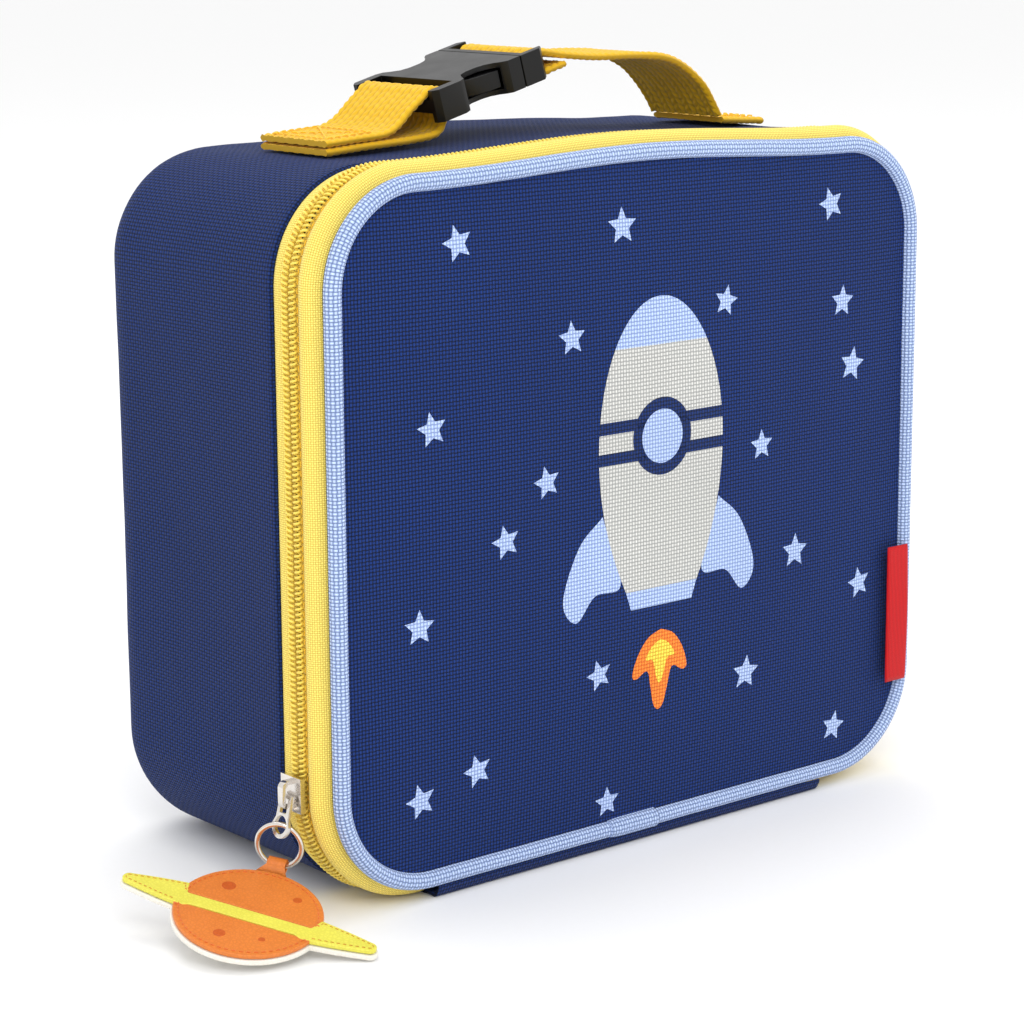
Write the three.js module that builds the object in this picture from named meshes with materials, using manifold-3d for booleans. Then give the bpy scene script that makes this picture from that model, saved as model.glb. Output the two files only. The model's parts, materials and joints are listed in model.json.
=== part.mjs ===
// A child's insulated lunch bag: a soft box of navy fabric over foam, with a zipped front lid that folds
// down on a fabric hinge, a webbing handle with a side-release buckle, and a planet charm on the zip pull.
// Millimetres, +Z up. The origin is the middle of the flat base; the lid faces -Y and +X is to its right.
import * as THREE from "three";
import { mergeVertices } from "three/addons/utils/BufferGeometryUtils.js";
import Module from "manifold-3d";

const wasm = await Module();
wasm.setup();

// Driving dimensions of the bag
const WIDTH = 230;
const HEIGHT = 206;
const CROWN = 3; // how far the middle of the top stands above its ends
const TOP_RADIUS = 38;
const BASE_RADIUS = 34;
const BACK_Y = 54;
const BACK_ROUNDING = 14;
const FABRIC_FRONT_Y = -34; // front edge of the navy fabric, where the zip tape shows
const ZIP_Y = -42.4; // the line between the two rows of coil
const SEAM_Y = -54; // the lid side zip tape meets the piping
const LID_LIFT = 2.5; // the lid's lower edge stands this far above the base
const FLAP_LEFT = -80; // the fabric hinge runs along the base between these two places
const FLAP_RIGHT = 75;
const FLAP_FRONT_Y = -54.6; // it stops just under the piping

// Layers, measured inwards from the outer surface
const FABRIC = 1.0;
const TAPE_IN = 1.2;
const TAPE_OUT = 1.8;
const FOAM_IN = 1.4;
const FOAM_OUT = 6.4;
const LINER_IN = 6.7;
const LINER_OUT = 7.5;
const FOAM_FRONT_Y = -26;
const LINER_BACK_Y = 46;
const GAP = 0.3;

// Zip
const POCKET_WIDTH = 196;
const POCKET_BACK_Y = -43.4;
const COIL_WIDTH = 2.45;
const COIL_HALF_GAP = 0.55; // half of the slot that the slider's post runs in
const COIL_OUT = -1.0;
const PIPING_RADIUS = 3.0;
const PIPING_INSET = 3.2;
const PIPING_Y = SEAM_Y - PIPING_RADIUS;

// Slider, pull link, ring and charm
const SLIDER_Z = 35.5;
const SLIDER_LENGTH = 10;
const SLIDER_HALF_WIDTH = 4.6;
const LINK_REACH = 8; // from the link's bar to the middle of its eye
const LINK_EYE = 2.6;
const LINK_SWING = 15; // degrees that the link stands out from the side at rest
const RING_RADIUS = 6.4;
const RING_WIRE = 0.75;
const CHARM_RADIUS = 20.4;
const CHARM_TAB = 26; // from the middle of the disc to the wire in its tab
const CHARM_HEADING = 36.5; // degrees in plan, from +X towards +Y, that the tab points
const CHARM_SLOPE = 12; // degrees that the tab end is raised
const CHARM_ROLL = 10;
const RING_DROP = 86; // degrees between the ring's plane and the charm's

// Handle and buckle
const WEBBING_WIDTH = 32;
const WEBBING = 1.8;
const BUCKLE_X = -43.5; // middle of the socket's strap bar
const BUCKLE_Z = 218.8;
const BUCKLE_TILT = 15;
const SOCKET_LENGTH = 31;
const BUCKLE_HALF_THICK = 4.75;
const PLUG_BAR = 38.8;

const ARC_STEPS = 8;
const CROWN_STEPS = 6;
const radians = THREE.MathUtils.degToRad;

const NAVY = [0x14245c, 0.85, 0];
const YELLOW = [0xf3c517, 0.8, 0];
const COLOURS = {
  navy: NAVY,
  yellow: YELLOW,
  sky: [0xa9bfe8, 0.85, 0],
  foam: [0xe9e9e4, 0.95, 0],
  liner: [0xc9ced6, 0.35, 0],
  red: [0xd9121a, 0.7, 0],
  black: [0x0c0c0e, 0.4, 0],
  steel: [0xb9b6b2, 0.25, 1],
  orange: [0xe2702a, 0.55, 0],
  lime: [0xdccb3c, 0.55, 0],
  cream: [0xf1eee6, 0.7, 0],
  mesh: [0x22305f, 0.9, 0],
};

const part = new THREE.Group();

function place(name, colour, geometry, parent = part) {
  const [color, roughness, metalness] = COLOURS[colour];
  const mesh = new THREE.Mesh(geometry, new THREE.MeshStandardMaterial({ color, roughness, metalness }));
  mesh.name = name;
  parent.add(mesh);
  return mesh;
}

// A closed geometry from points and triangles, turned so that its faces point out.
function closedBody(points, triangles) {
  const p = points.map(([x, y, z]) => new THREE.Vector3(x, y, z));
  const volume = triangles.reduce((sum, [a, b, c]) => sum + p[a].dot(p[b].clone().cross(p[c])), 0);
  const faces = volume < 0 ? triangles.map(([a, b, c]) => [a, c, b]) : triangles;
  const geometry = new THREE.BufferGeometry();
  geometry.setAttribute("position", new THREE.Float32BufferAttribute(points.flat(), 3));
  geometry.setIndex(faces.flat());
  return geometry;
}

function toSolid(geometry) {
  const bare = geometry.index ? geometry.clone() : mergeVertices(geometry);
  bare.deleteAttribute("normal");
  bare.deleteAttribute("uv");
  const merged = mergeVertices(bare, 1e-4);
  return new wasm.Manifold(
    new wasm.Mesh({
      numProp: 3,
      vertProperties: new Float32Array(merged.attributes.position.array),
      triVerts: new Uint32Array(merged.index.array),
    }),
  );
}

function toGeometry(solid) {
  const mesh = solid.getMesh();
  const geometry = new THREE.BufferGeometry();
  geometry.setAttribute("position", new THREE.BufferAttribute(new Float32Array(mesh.vertProperties), 3));
  geometry.setIndex(new THREE.BufferAttribute(new Uint32Array(mesh.triVerts), 1));
  return geometry;
}

function boxSolid(x0, x1, y0, y1, z0, z1) {
  const box = new THREE.BoxGeometry(x1 - x0, y1 - y0, z1 - z0);
  box.translate((x0 + x1) / 2, (y0 + y1) / 2, (z0 + z1) / 2);
  return toSolid(box);
}

// The bag's outline in the front view, from the left end of the fabric hinge over the top to its right end.
// Each station has its place and its outward normal.
function rimStations() {
  const stations = [{ x: FLAP_LEFT, z: 0, nx: 0, nz: -1 }];
  const corner = (cx, cz, radius, from, to) => {
    for (let i = 0; i <= ARC_STEPS; i++) {
      const a = radians(from + ((to - from) * i) / ARC_STEPS);
      const [nx, nz] = [Math.cos(a), Math.sin(a)];
      stations.push({ x: cx + radius * nx, z: cz + radius * nz, nx, nz });
    }
  };
  const sideX = WIDTH / 2;
  corner(BASE_RADIUS - sideX, BASE_RADIUS, BASE_RADIUS, 270, 180);
  corner(TOP_RADIUS - sideX, HEIGHT - TOP_RADIUS, TOP_RADIUS, 180, 90);
  const reach = sideX - TOP_RADIUS;
  for (let i = 1; i < CROWN_STEPS; i++) {
    const x = reach * ((2 * i) / CROWN_STEPS - 1);
    stations.push({ x, z: topZ(x), nx: 0, nz: 1 });
  }
  corner(sideX - TOP_RADIUS, HEIGHT - TOP_RADIUS, TOP_RADIUS, 90, 0);
  corner(sideX - BASE_RADIUS, BASE_RADIUS, BASE_RADIUS, 360, 270);
  stations.push({ x: FLAP_RIGHT, z: 0, nx: 0, nz: -1 });
  return stations;
}

function topZ(x) {
  const reach = WIDTH / 2 - TOP_RADIUS;
  return HEIGHT + CROWN * (1 - (x / reach) ** 2);
}

// The lid's lower edge is lifted, and the lift fades out towards the back and half way up.
function liftAt(y, z) {
  const forward = THREE.MathUtils.smoothstep(-y, -FABRIC_FRONT_Y, -SEAM_Y);
  return LID_LIFT * forward * Math.max(0, 1 - z / (HEIGHT / 2));
}

const RIM = rimStations();

function rimPoint(station, inset, y) {
  const z = station.z - inset * station.nz;
  return [station.x - inset * station.nx, y, z + liftAt(y, station.z)];
}

// A profile of [inset, y] points carried round the rim. An open sweep stops at the hinge, with end caps.
function rimSweep(profile, open = false, stations = RIM) {
  const n = profile.length;
  const points = stations.flatMap((s) => profile.map(([inset, y]) => rimPoint(s, inset, y)));
  const triangles = [];
  const spans = open ? stations.length - 1 : stations.length;
  for (let i = 0; i < spans; i++) {
    for (let j = 0; j < n; j++) {
      const [a, b] = [i * n + j, i * n + ((j + 1) % n)];
      const next = (i + 1) % stations.length;
      const [c, d] = [next * n + j, next * n + ((j + 1) % n)];
      triangles.push([a, b, c], [b, d, c]);
    }
  }
  if (open) {
    const outline = profile.map(([inset, y]) => new THREE.Vector2(inset, y));
    const cap = THREE.ShapeUtils.triangulateShape(outline, []);
    const last = (stations.length - 1) * n;
    const turn = THREE.ShapeUtils.isClockWise(outline);
    for (const [a, b, c] of cap) {
      triangles.push(turn ? [a, b, c] : [a, c, b]);
      triangles.push(turn ? [last + a, last + c, last + b] : [last + a, last + b, last + c]);
    }
  }
  return closedBody(points, triangles);
}

function band(insetA, insetB, yA, yB, steps = 1) {
  const ys = Array.from({ length: steps + 1 }, (_, i) => yA + ((yB - yA) * i) / steps);
  return [...ys.map((y) => [insetA, y]), ...ys.reverse().map((y) => [insetB, y])];
}

// A plate that fills the rim: rings shrink towards the middle, and a bulge pushes both faces forward there.
function rimPlate(inset, yBack, yFront, bulge = 0) {
  const scales = [1, 0.8, 0.55, 0.3];
  const points = [];
  const triangles = [];
  const n = RIM.length;
  const centreZ = HEIGHT / 2;
  for (const y of [yFront, yBack]) {
    for (const s of scales) {
      for (const station of RIM) {
        const [x, , z] = rimPoint(station, inset, Math.min(y, BACK_Y));
        points.push([x * s, y - bulge * (1 - s * s), centreZ + (z - centreZ) * s]);
      }
    }
    points.push([0, y - bulge, centreZ]);
  }
  const face = n * scales.length + 1;
  for (const [start, flip] of [[0, false], [face, true]]) {
    const add = (a, b, c) => triangles.push(flip ? [a, c, b] : [a, b, c]);
    for (let k = 0; k < scales.length; k++) {
      for (let i = 0; i < n; i++) {
        const [a, b] = [start + k * n + i, start + k * n + ((i + 1) % n)];
        if (k === scales.length - 1) add(a, b, start + face - 1);
        else {
          add(a, b, a + n);
          add(b, b + n, a + n);
        }
      }
    }
  }
  for (let i = 0; i < n; i++) {
    const j = (i + 1) % n;
    triangles.push([i, face + i, j], [j, face + i, face + j]);
  }
  return closedBody(points, triangles);
}

// A shape drawn in X and Z, extruded along Y from yFrom to yTo.
function extrudeY(shape, yFrom, yTo, curveSegments = 8) {
  const depth = yTo - yFrom;
  const geometry = new THREE.ExtrudeGeometry(shape, { depth, bevelEnabled: false, curveSegments });
  geometry.rotateX(Math.PI / 2);
  geometry.translate(0, yTo, 0);
  return geometry;
}

// A strip of webbing: a smooth line in X and Z, thickened both ways and extruded along Y.
function ribbon(line, steps) {
  const points = line.map(([x, z]) => new THREE.Vector3(x, z, 0));
  const curve = new THREE.CatmullRomCurve3(points, false, "centripetal");
  const over = [];
  const under = [];
  for (let i = 0; i <= steps; i++) {
    const at = curve.getPointAt(i / steps);
    const along = curve.getTangentAt(i / steps);
    const side = new THREE.Vector2(-along.y, along.x).multiplyScalar(WEBBING / 2);
    over.push(new THREE.Vector2(at.x, at.y).add(side));
    under.push(new THREE.Vector2(at.x, at.y).sub(side));
  }
  const half = WEBBING_WIDTH / 2;
  return extrudeY(new THREE.Shape([...over, ...under.reverse()]), -half, half);
}

// ---- Case: outer fabric, foam and lining ----

const roundedBack = Array.from({ length: 6 }, (_, i) => {
  const a = radians(18 * i);
  return [Math.cos(a), Math.sin(a)];
});
const backFrom = BACK_Y - BACK_ROUNDING;
const turnIn = (radius) =>
  roundedBack.map(([c, s]) => [BACK_ROUNDING - radius * c, backFrom + radius * s]);
place("gusset_fabric", "navy", rimSweep([
  [0, FABRIC_FRONT_Y],
  [0, 3],
  ...turnIn(BACK_ROUNDING),
  ...turnIn(BACK_ROUNDING - FABRIC).reverse(),
  [FABRIC, 3],
  [FABRIC, FABRIC_FRONT_Y],
]));
place("back_panel", "navy", rimPlate(BACK_ROUNDING + GAP, BACK_Y, BACK_Y - FABRIC));
place("gusset_foam", "foam", rimSweep([
  [FOAM_IN, FOAM_FRONT_Y],
  [FOAM_IN, 42],
  [FOAM_IN + 2.1, LINER_BACK_Y],
  [FOAM_OUT, LINER_BACK_Y],
  [FOAM_OUT, FOAM_FRONT_Y],
]));
place("back_foam", "foam", rimPlate(12.2, BACK_Y - FABRIC - GAP, 47.6));
place("gusset_liner", "liner", rimSweep(band(LINER_IN, LINER_OUT, FOAM_FRONT_Y, LINER_BACK_Y)));
place("back_liner", "liner", rimPlate(LINER_OUT + GAP, 47.2, 46.4));
place("case_binding", "navy", rimSweep(band(2.2, LINER_OUT, FOAM_FRONT_Y - 6, FOAM_FRONT_Y - GAP)));
place("name_label", "cream", toGeometry(boxSolid(-35, 35, 45.4, 46.0, 120, 160)));

// ---- Fabric hinge, along the base between the zip's two ends ----

function flapStrip() {
  const profile = band(0, FABRIC, FABRIC_FRONT_Y - GAP, FLAP_FRONT_Y, 6);
  const left = { x: FLAP_LEFT + GAP, z: 0, nx: 0, nz: -1 };
  const right = { x: FLAP_RIGHT - GAP, z: 0, nx: 0, nz: -1 };
  return rimSweep(profile, true, [left, right]);
}
place("hinge_flap", "navy", flapStrip());

// ---- Zip: tape and coil on both sides ----

const coil = (yA, yB) => {
  const chamfer = 0.7;
  const [low, high] = [Math.min(yA, yB), Math.max(yA, yB)];
  return [
    [COIL_OUT, low + chamfer],
    [COIL_OUT, high - chamfer],
    [COIL_OUT + chamfer, high],
    [TAPE_IN - GAP, high],
    [TAPE_IN - GAP, low],
    [COIL_OUT + chamfer, low],
  ];
};
const coilRim = RIM.filter((station) => station.z > 2); // the coil stops where the base begins
const caseCoilEdge = ZIP_Y + COIL_HALF_GAP;
const lidCoilEdge = ZIP_Y - COIL_HALF_GAP;
place("zip_tape_case", "yellow", rimSweep(band(TAPE_IN, TAPE_OUT, caseCoilEdge, -27, 3), true));
place("zip_coil_case", "yellow", rimSweep(coil(caseCoilEdge, caseCoilEdge + COIL_WIDTH), true, coilRim));
place("zip_tape_lid", "yellow", rimSweep(band(TAPE_IN, TAPE_OUT, SEAM_Y + GAP / 2, lidCoilEdge, 3), true));
place("zip_coil_lid", "yellow", rimSweep(coil(lidCoilEdge - COIL_WIDTH, lidCoilEdge), true, coilRim));

// A metal stop closes the end of each row of coil, low on the base's rounded corners.
function cornerStation(side, up) {
  const [nx, nz] = [side * Math.sin(radians(up)), -Math.cos(radians(up))];
  const cx = side * (WIDTH / 2 - BASE_RADIUS);
  return { x: cx + BASE_RADIUS * nx, z: BASE_RADIUS + BASE_RADIUS * nz, nx, nz };
}

function endStop(side) {
  const ends = [cornerStation(side, 16), cornerStation(side, 21)];
  const low = caseCoilEdge + 0.2;
  return rimSweep([[-0.9, low], [-0.9, low + 2.2], [0.9, low + 2.2], [0.9, low]], true, ends);
}
place("zip_stop_left", "steel", endStop(-1));
place("zip_stop_right", "steel", endStop(1));

// ---- Lid: piping, front panel, foam, lining, pocket and label ----

// The piping cover wraps the cord and leaves a slit towards the seam, where its two edges are sewn in.
function pipingProfile(outer, inner) {
  const slit = 12;
  const seam = 45;
  const arc = (radius, from, to, steps) =>
    Array.from({ length: steps + 1 }, (_, i) => {
      const a = radians(from + ((to - from) * i) / steps);
      return [PIPING_INSET + radius * Math.cos(a), PIPING_Y + radius * Math.sin(a)];
    });
  if (!inner) return arc(outer, 0, 360 - 36, 9);
  return [
    ...arc(outer, seam + slit, seam + 360 - slit, 14),
    ...arc(inner, seam + 360 - slit, seam + slit, 14),
  ];
}
place("piping_cover", "sky", rimSweep(pipingProfile(PIPING_RADIUS, PIPING_RADIUS - 0.8)));
place("piping_cord", "cream", rimSweep(pipingProfile(PIPING_RADIUS - 1.15, 0)));

const PANEL_BULGE = 3.5;
const panelInset = PIPING_INSET + PIPING_RADIUS + GAP;
place("front_panel", "navy", rimPlate(panelInset, -57, -58, PANEL_BULGE));
place("front_foam", "foam", rimPlate(panelInset, -51.6, -56.6, PANEL_BULGE - 0.4));
place("front_liner", "liner", rimPlate(panelInset, -50.4, -51.2, PANEL_BULGE - 0.8));
place("lid_binding", "navy", rimSweep(band(TAPE_OUT + GAP, panelInset - GAP, -53.4, -50)));

// The mesh pocket is a shallow tray against the lid's lining, open at its top.
function meshPocket() {
  const [half, low, high, wall] = [POCKET_WIDTH / 2, 14, 104, 0.8];
  const [front, back] = [-50.1, POCKET_BACK_Y];
  const outer = boxSolid(-half, half, front, back, low, high);
  const inner = boxSolid(wall - half, half - wall, front - 1, back - wall, low + wall, high + 1);
  return toGeometry(outer.subtract(inner));
}
place("mesh_pocket", "mesh", meshPocket());

function flatBox(name, colour, x0, x1, y0, y1, z0, z1) {
  place(name, colour, toGeometry(boxSolid(x0, x1, y0, y1, z0, z1)));
}
const pocketEdge = POCKET_WIDTH / 2;
flatBox(
  "pocket_binding", "navy", -pocketEdge, pocketEdge, POCKET_BACK_Y - 1.2, POCKET_BACK_Y, 104 + GAP, 111,
);
flatBox("side_label", "red", 103, 112, -61.6, -60.6, 31, 75);

// ---- Handle ----

const layer = WEBBING / 2 + GAP;
// A point that stands a height off the top surface, which turns down at the corners.
function onTop(x, height) {
  const reach = WIDTH / 2 - TOP_RADIUS;
  if (Math.abs(x) <= reach) return [x, topZ(x) + height];
  const radius = TOP_RADIUS + height;
  return [x, HEIGHT - TOP_RADIUS + Math.sqrt(radius ** 2 - (Math.abs(x) - reach) ** 2)];
}

// Points on a circle round a strap bar, by angle from +X towards +Z.
function roundBar([x, z], radius, from, to, steps) {
  return Array.from({ length: steps + 1 }, (_, i) => {
    const a = radians(from + ((to - from) * i) / steps);
    return [x + radius * Math.cos(a), z + radius * Math.sin(a)];
  });
}
const socketBar = [BUCKLE_X, BUCKLE_Z];
place("strap_left", "yellow", ribbon([
  onTop(-82, layer),
  onTop(-70, layer),
  onTop(-58, layer),
  onTop(-48, layer),
  [-43, 210.2],
  [-39.9, 213.4],
  ...roundBar(socketBar, 4.3, -15, 150, 5),
  [-51.5, 217.6],
  [-56, 213.6],
  onTop(-61, 3 * layer + 0.3),
  onTop(-70, 3 * layer),
  onTop(-82, 3 * layer),
], 60));
place("anchor_right", "yellow", ribbon([70.4, 76, 82, 88].map((x) => onTop(x, layer)), 10));

// The buckle stands in its own frame: X along the pull, from the socket's strap bar to the plug's.
const buckle = new THREE.Group();
buckle.position.set(BUCKLE_X, 0, BUCKLE_Z);
buckle.rotation.y = -radians(BUCKLE_TILT);
part.add(buckle);

function plan(outline, z0, z1) {
  const half = outline.map(([x, y]) => new THREE.Vector2(x, y));
  const mirrored = outline.map(([x, y]) => new THREE.Vector2(x, -y)).reverse();
  const geometry = new THREE.ExtrudeGeometry(new THREE.Shape([...half, ...mirrored]), {
    depth: z1 - z0,
    bevelEnabled: false,
  });
  geometry.translate(0, 0, z0);
  return toSolid(geometry);
}

function buckleSocket() {
  const waist = 13.2;
  const outline = [[-2.2, 18.4], [-0.6, 20], [7.4, 20], [9.6, 19], [10.8, 16.6], [12.4, 14.2], [15, waist]];
  const nose = [[19, waist], [21.6, 14], [23.6, 15.8], [25, 18], [26.4, 19.2], [SOCKET_LENGTH, 19.2]];
  const t = BUCKLE_HALF_THICK;
  return plan([...outline, ...nose], -t, t)
    .subtract(boxSolid(2.2, 7, -16.7, 16.7, -9, 9))
    .subtract(boxSolid(-9, 2.3, -16.7, 16.7, 2, 9))
    .subtract(boxSolid(-9, 2.3, -16.7, 16.7, -9, -2))
    .subtract(boxSolid(9.6, SOCKET_LENGTH + 1, -17.2, 17.2, -3.2, 3.2));
}

function bucklePlug() {
  const t = BUCKLE_HALF_THICK;
  const start = SOCKET_LENGTH + GAP;
  const bar = boxSolid(PLUG_BAR - 1.5, PLUG_BAR + 1.5, -17.5, 17.5, -1.5, 1.5);
  return plan([[start, 19.4], [38.6, 19.4], [40.6, 17.6]], -t, t)
    .subtract(boxSolid(33.6, 45, -16.8, 16.8, -9, 9))
    .add(bar)
    .add(boxSolid(13, start + 1, -3, 3, -1.6, 1.6));
}

function prong(side) {
  const outline = [
    [SOCKET_LENGTH - 0.2, 9.2],
    [28, 10.6],
    [24.4, 12.6],
    [24.2, 16.6],
    [20, 16.4],
    [15, 14.4],
    [11, 10.4],
    [11.2, 9.2],
    [15.4, 10.6],
    [21, 11.2],
    [28, 7.4],
    [SOCKET_LENGTH - 0.2, 6.2],
  ];
  const shape = new THREE.Shape(outline.map(([x, y]) => new THREE.Vector2(x, side * y)));
  const geometry = new THREE.ExtrudeGeometry(shape, { depth: 5.2, bevelEnabled: false });
  geometry.translate(0, 0, -2.6);
  return geometry;
}

place("buckle_socket", "black", toGeometry(buckleSocket()), buckle);
place("buckle_plug", "black", toGeometry(bucklePlug()), buckle);
place("prong_front", "black", prong(-1), buckle);
place("prong_back", "black", prong(1), buckle);

const tilt = radians(BUCKLE_TILT);
const plugBar = [BUCKLE_X + PLUG_BAR * Math.cos(tilt), BUCKLE_Z + PLUG_BAR * Math.sin(tilt)];
place("strap_right", "yellow", ribbon([
  [6, 228.1],
  [2, 227.2],
  [-2, 226],
  ...roundBar(plugBar, 3.4, 275, 90, 6),
  [0, 231.6],
  [6, 230.7],
  [19, 229.6],
  [34, 229.4],
  [46, 228.4],
  [55, 225],
  [62, 219.6],
  [66.6, 214],
  [69.4, 209.6],
], 60));

// ---- Slider, on the left side, and what hangs from it ----

const slider = new THREE.Group();
slider.position.set(-WIDTH / 2, ZIP_Y, SLIDER_Z);
part.add(slider);

// In the slider's frame -X points out of the bag, and the crown is an arch over the top plate.
function sliderBody() {
  const [half, w] = [SLIDER_LENGTH / 2, SLIDER_HALF_WIDTH];
  const top = boxSolid(-3, -1.8, -w, w, -half, half);
  const leftLip = boxSolid(-2, -1.4, -w, -w + 0.8, -half, half);
  const rightLip = boxSolid(-2, -1.4, w - 0.8, w, -half, half);
  const lips = leftLip.add(rightLip);
  const bottom = boxSolid(2.6, 3.6, -w, w, -half, half);
  const post = boxSolid(-2, 3, -0.25, 0.25, -half, -half + 4);
  const arch = new THREE.Shape();
  arch.moveTo(-2.8, -4);
  arch.lineTo(-4.6, -4);
  arch.absarc(-4.6, -2, 2, -Math.PI / 2, -Math.PI, true);
  arch.lineTo(-6.6, 2);
  arch.absarc(-4.6, 2, 2, Math.PI, Math.PI / 2, true);
  arch.lineTo(-2.8, 4);
  arch.lineTo(-2.8, 3);
  arch.lineTo(-4.6, 3);
  arch.lineTo(-5.5, 2);
  arch.lineTo(-5.5, -2);
  arch.lineTo(-4.6, -3);
  arch.lineTo(-2.8, -3);
  const crown = toSolid(extrudeY(arch, -1.1, 1.1));
  return toGeometry(top.add(lips).add(bottom).add(post).add(crown));
}
place("slider_body", "steel", sliderBody(), slider);

const LINK_BAR = new THREE.Vector3(-4.2, 0, -0.6);
const link = new THREE.Group();
link.position.copy(LINK_BAR);
link.rotation.y = radians(LINK_SWING);
slider.add(link);

// The link is a flat plate below its bar: a slot for the crown, then an eye for the ring.
function pullLink() {
  const shape = new THREE.Shape();
  shape.moveTo(-2.7, 0.5);
  shape.lineTo(-2.7, -6);
  shape.lineTo(-LINK_EYE - 1.2, -LINK_REACH);
  shape.absarc(0, -LINK_REACH, LINK_EYE + 1.2, Math.PI, 2 * Math.PI, false);
  shape.lineTo(2.7, -6);
  shape.lineTo(2.7, 0.5);
  const slotCorners = [[-1.5, -0.5], [-1.5, -4.7], [1.5, -4.7], [1.5, -0.5]];
  const slot = new THREE.Path(slotCorners.map((p) => new THREE.Vector2(...p)));
  const eye = new THREE.Path().absarc(0, -LINK_REACH, LINK_EYE, 0, 2 * Math.PI, true);
  shape.holes.push(slot, eye);
  const geometry = new THREE.ExtrudeGeometry(shape, { depth: 1, bevelEnabled: false, curveSegments: 10 });
  geometry.translate(0, 0, -0.5);
  geometry.rotateX(Math.PI / 2);
  geometry.rotateZ(Math.PI / 2);
  return geometry;
}
place("pull_link", "steel", pullLink(), link);

// The charm's frame: X towards its tab, Z out of its face, origin in the middle of the disc.
part.updateMatrixWorld(true);
const eye = link.localToWorld(new THREE.Vector3(0, 0, -LINK_REACH));
const drop = new THREE.Vector3(Math.cos(radians(RING_DROP)), 0, Math.sin(radians(RING_DROP)));
const ringCentre = new THREE.Vector3(CHARM_TAB, 0, 0).addScaledVector(drop, RING_RADIUS);
const ringTop = new THREE.Vector3(CHARM_TAB, 0, 0).addScaledVector(drop, 2 * RING_RADIUS);
const charm = new THREE.Group();
charm.rotation.set(radians(CHARM_ROLL), -radians(CHARM_SLOPE), radians(CHARM_HEADING), "ZYX");
charm.position.copy(eye).sub(ringTop.clone().applyEuler(charm.rotation));
part.add(charm);

const torus = new THREE.TorusGeometry(RING_RADIUS, RING_WIRE, 8, 28);
torus.rotateY(-radians(RING_DROP));
torus.translate(ringCentre.x, ringCentre.y, ringCentre.z);
place("pull_ring", "steel", torus, charm);

// The planet's ring: two wings and the band that crosses the disc.
const RING_TURN = -5; // degrees that the planet's ring is turned from square to the tab
const WING_TIP = 37;
const WING_HALF = 4.4;
const BAND_LOW = -4.2;
const BAND_HIGH = 0.6;

function planetRing(grow) {
  const shape = new THREE.Shape();
  const [low, high, half] = [BAND_LOW - grow, BAND_HIGH + grow, WING_HALF + grow];
  const tip = WING_TIP - 2;
  shape.moveTo(-tip, 2 + grow);
  shape.absarc(-tip, 0, 2 + grow, Math.PI / 2, (3 * Math.PI) / 2, false);
  shape.quadraticCurveTo(-25, -half, -17, -half - 1);
  shape.lineTo(-15, low);
  shape.lineTo(15, low);
  shape.lineTo(17, -half - 1);
  shape.quadraticCurveTo(25, -half, tip, -2 - grow);
  shape.absarc(tip, 0, 2 + grow, -Math.PI / 2, Math.PI / 2, false);
  shape.quadraticCurveTo(25, half, 19.4, half + 0.6);
  shape.lineTo(18, high);
  shape.lineTo(-18, high);
  shape.lineTo(-19.4, half + 0.6);
  shape.quadraticCurveTo(-25, half, -tip, 2 + grow);
  return shape;
}

function faceUp(shape, z0, z1) {
  const depth = z1 - z0;
  const geometry = new THREE.ExtrudeGeometry(shape, { depth, bevelEnabled: false, curveSegments: 12 });
  geometry.translate(0, 0, z0);
  return geometry;
}

function inCharmFrame(geometry) {
  return geometry.rotateZ(-Math.PI / 2 + radians(RING_TURN));
}

const discShape = new THREE.Shape().absarc(0, 0, CHARM_RADIUS, 0, 2 * Math.PI, false);
const backShape = new THREE.Shape().absarc(0, 0, CHARM_RADIUS + 0.4, 0, 2 * Math.PI, false);
const backing = toSolid(inCharmFrame(faceUp(backShape, -1.7, -0.2))).add(
  toSolid(inCharmFrame(faceUp(planetRing(0.4), -1.7, -0.2))),
);
place("charm_backing", "cream", toGeometry(backing), charm);
place("charm_ring", "lime", inCharmFrame(faceUp(planetRing(0), 0.1, 1.3)), charm);
const slit = toSolid(inCharmFrame(faceUp(planetRing(GAP), -1, 3)));
const halves = toSolid(inCharmFrame(faceUp(discShape, 0.1, 1.3))).subtract(slit).decompose();
const rightmostFirst = (a, b) => b.boundingBox().max[0] - a.boundingBox().max[0];
const big = halves.filter((h) => h.volume() > 50).sort(rightmostFirst);
place("charm_disc_upper", "orange", toGeometry(big[0]), charm);
place("charm_disc_lower", "orange", toGeometry(big[1]), charm);

// A folded strip round the ring's wire. Its bore is a slot, because the wire curves away on both sides.
function charmTab() {
  const half = 2.6;
  const inner = RING_WIRE + 2 * GAP;
  const skin = 0.9;
  const root = CHARM_RADIUS + 0.9;
  const away = RING_RADIUS - Math.sqrt(RING_RADIUS ** 2 - half ** 2);
  const end = new THREE.Vector2(CHARM_TAB + away * drop.x, away * drop.z);
  const lean = radians(RING_DROP);
  const outline = (radius) => [
    ...arcPoints(CHARM_TAB, 0, radius, Math.PI, 1.5 * Math.PI + lean),
    ...arcPoints(end.x, end.y, radius, lean - Math.PI / 2, lean + Math.PI / 2),
    ...arcPoints(CHARM_TAB, 0, radius, lean + Math.PI / 2, Math.PI),
  ];
  const loop = new THREE.Shape(outline(inner + skin));
  const strip = new THREE.Shape([[root, -skin], [CHARM_TAB, -skin], [CHARM_TAB, skin], [root, skin]].map(
    ([x, z]) => new THREE.Vector2(x, z),
  ));
  const bore = toSolid(extrudeY(new THREE.Shape(outline(inner)), -9, 9));
  const folded = toSolid(extrudeY(loop, -half, half)).add(toSolid(extrudeY(strip, -half, half)));
  return toGeometry(folded.subtract(bore));
}

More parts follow.
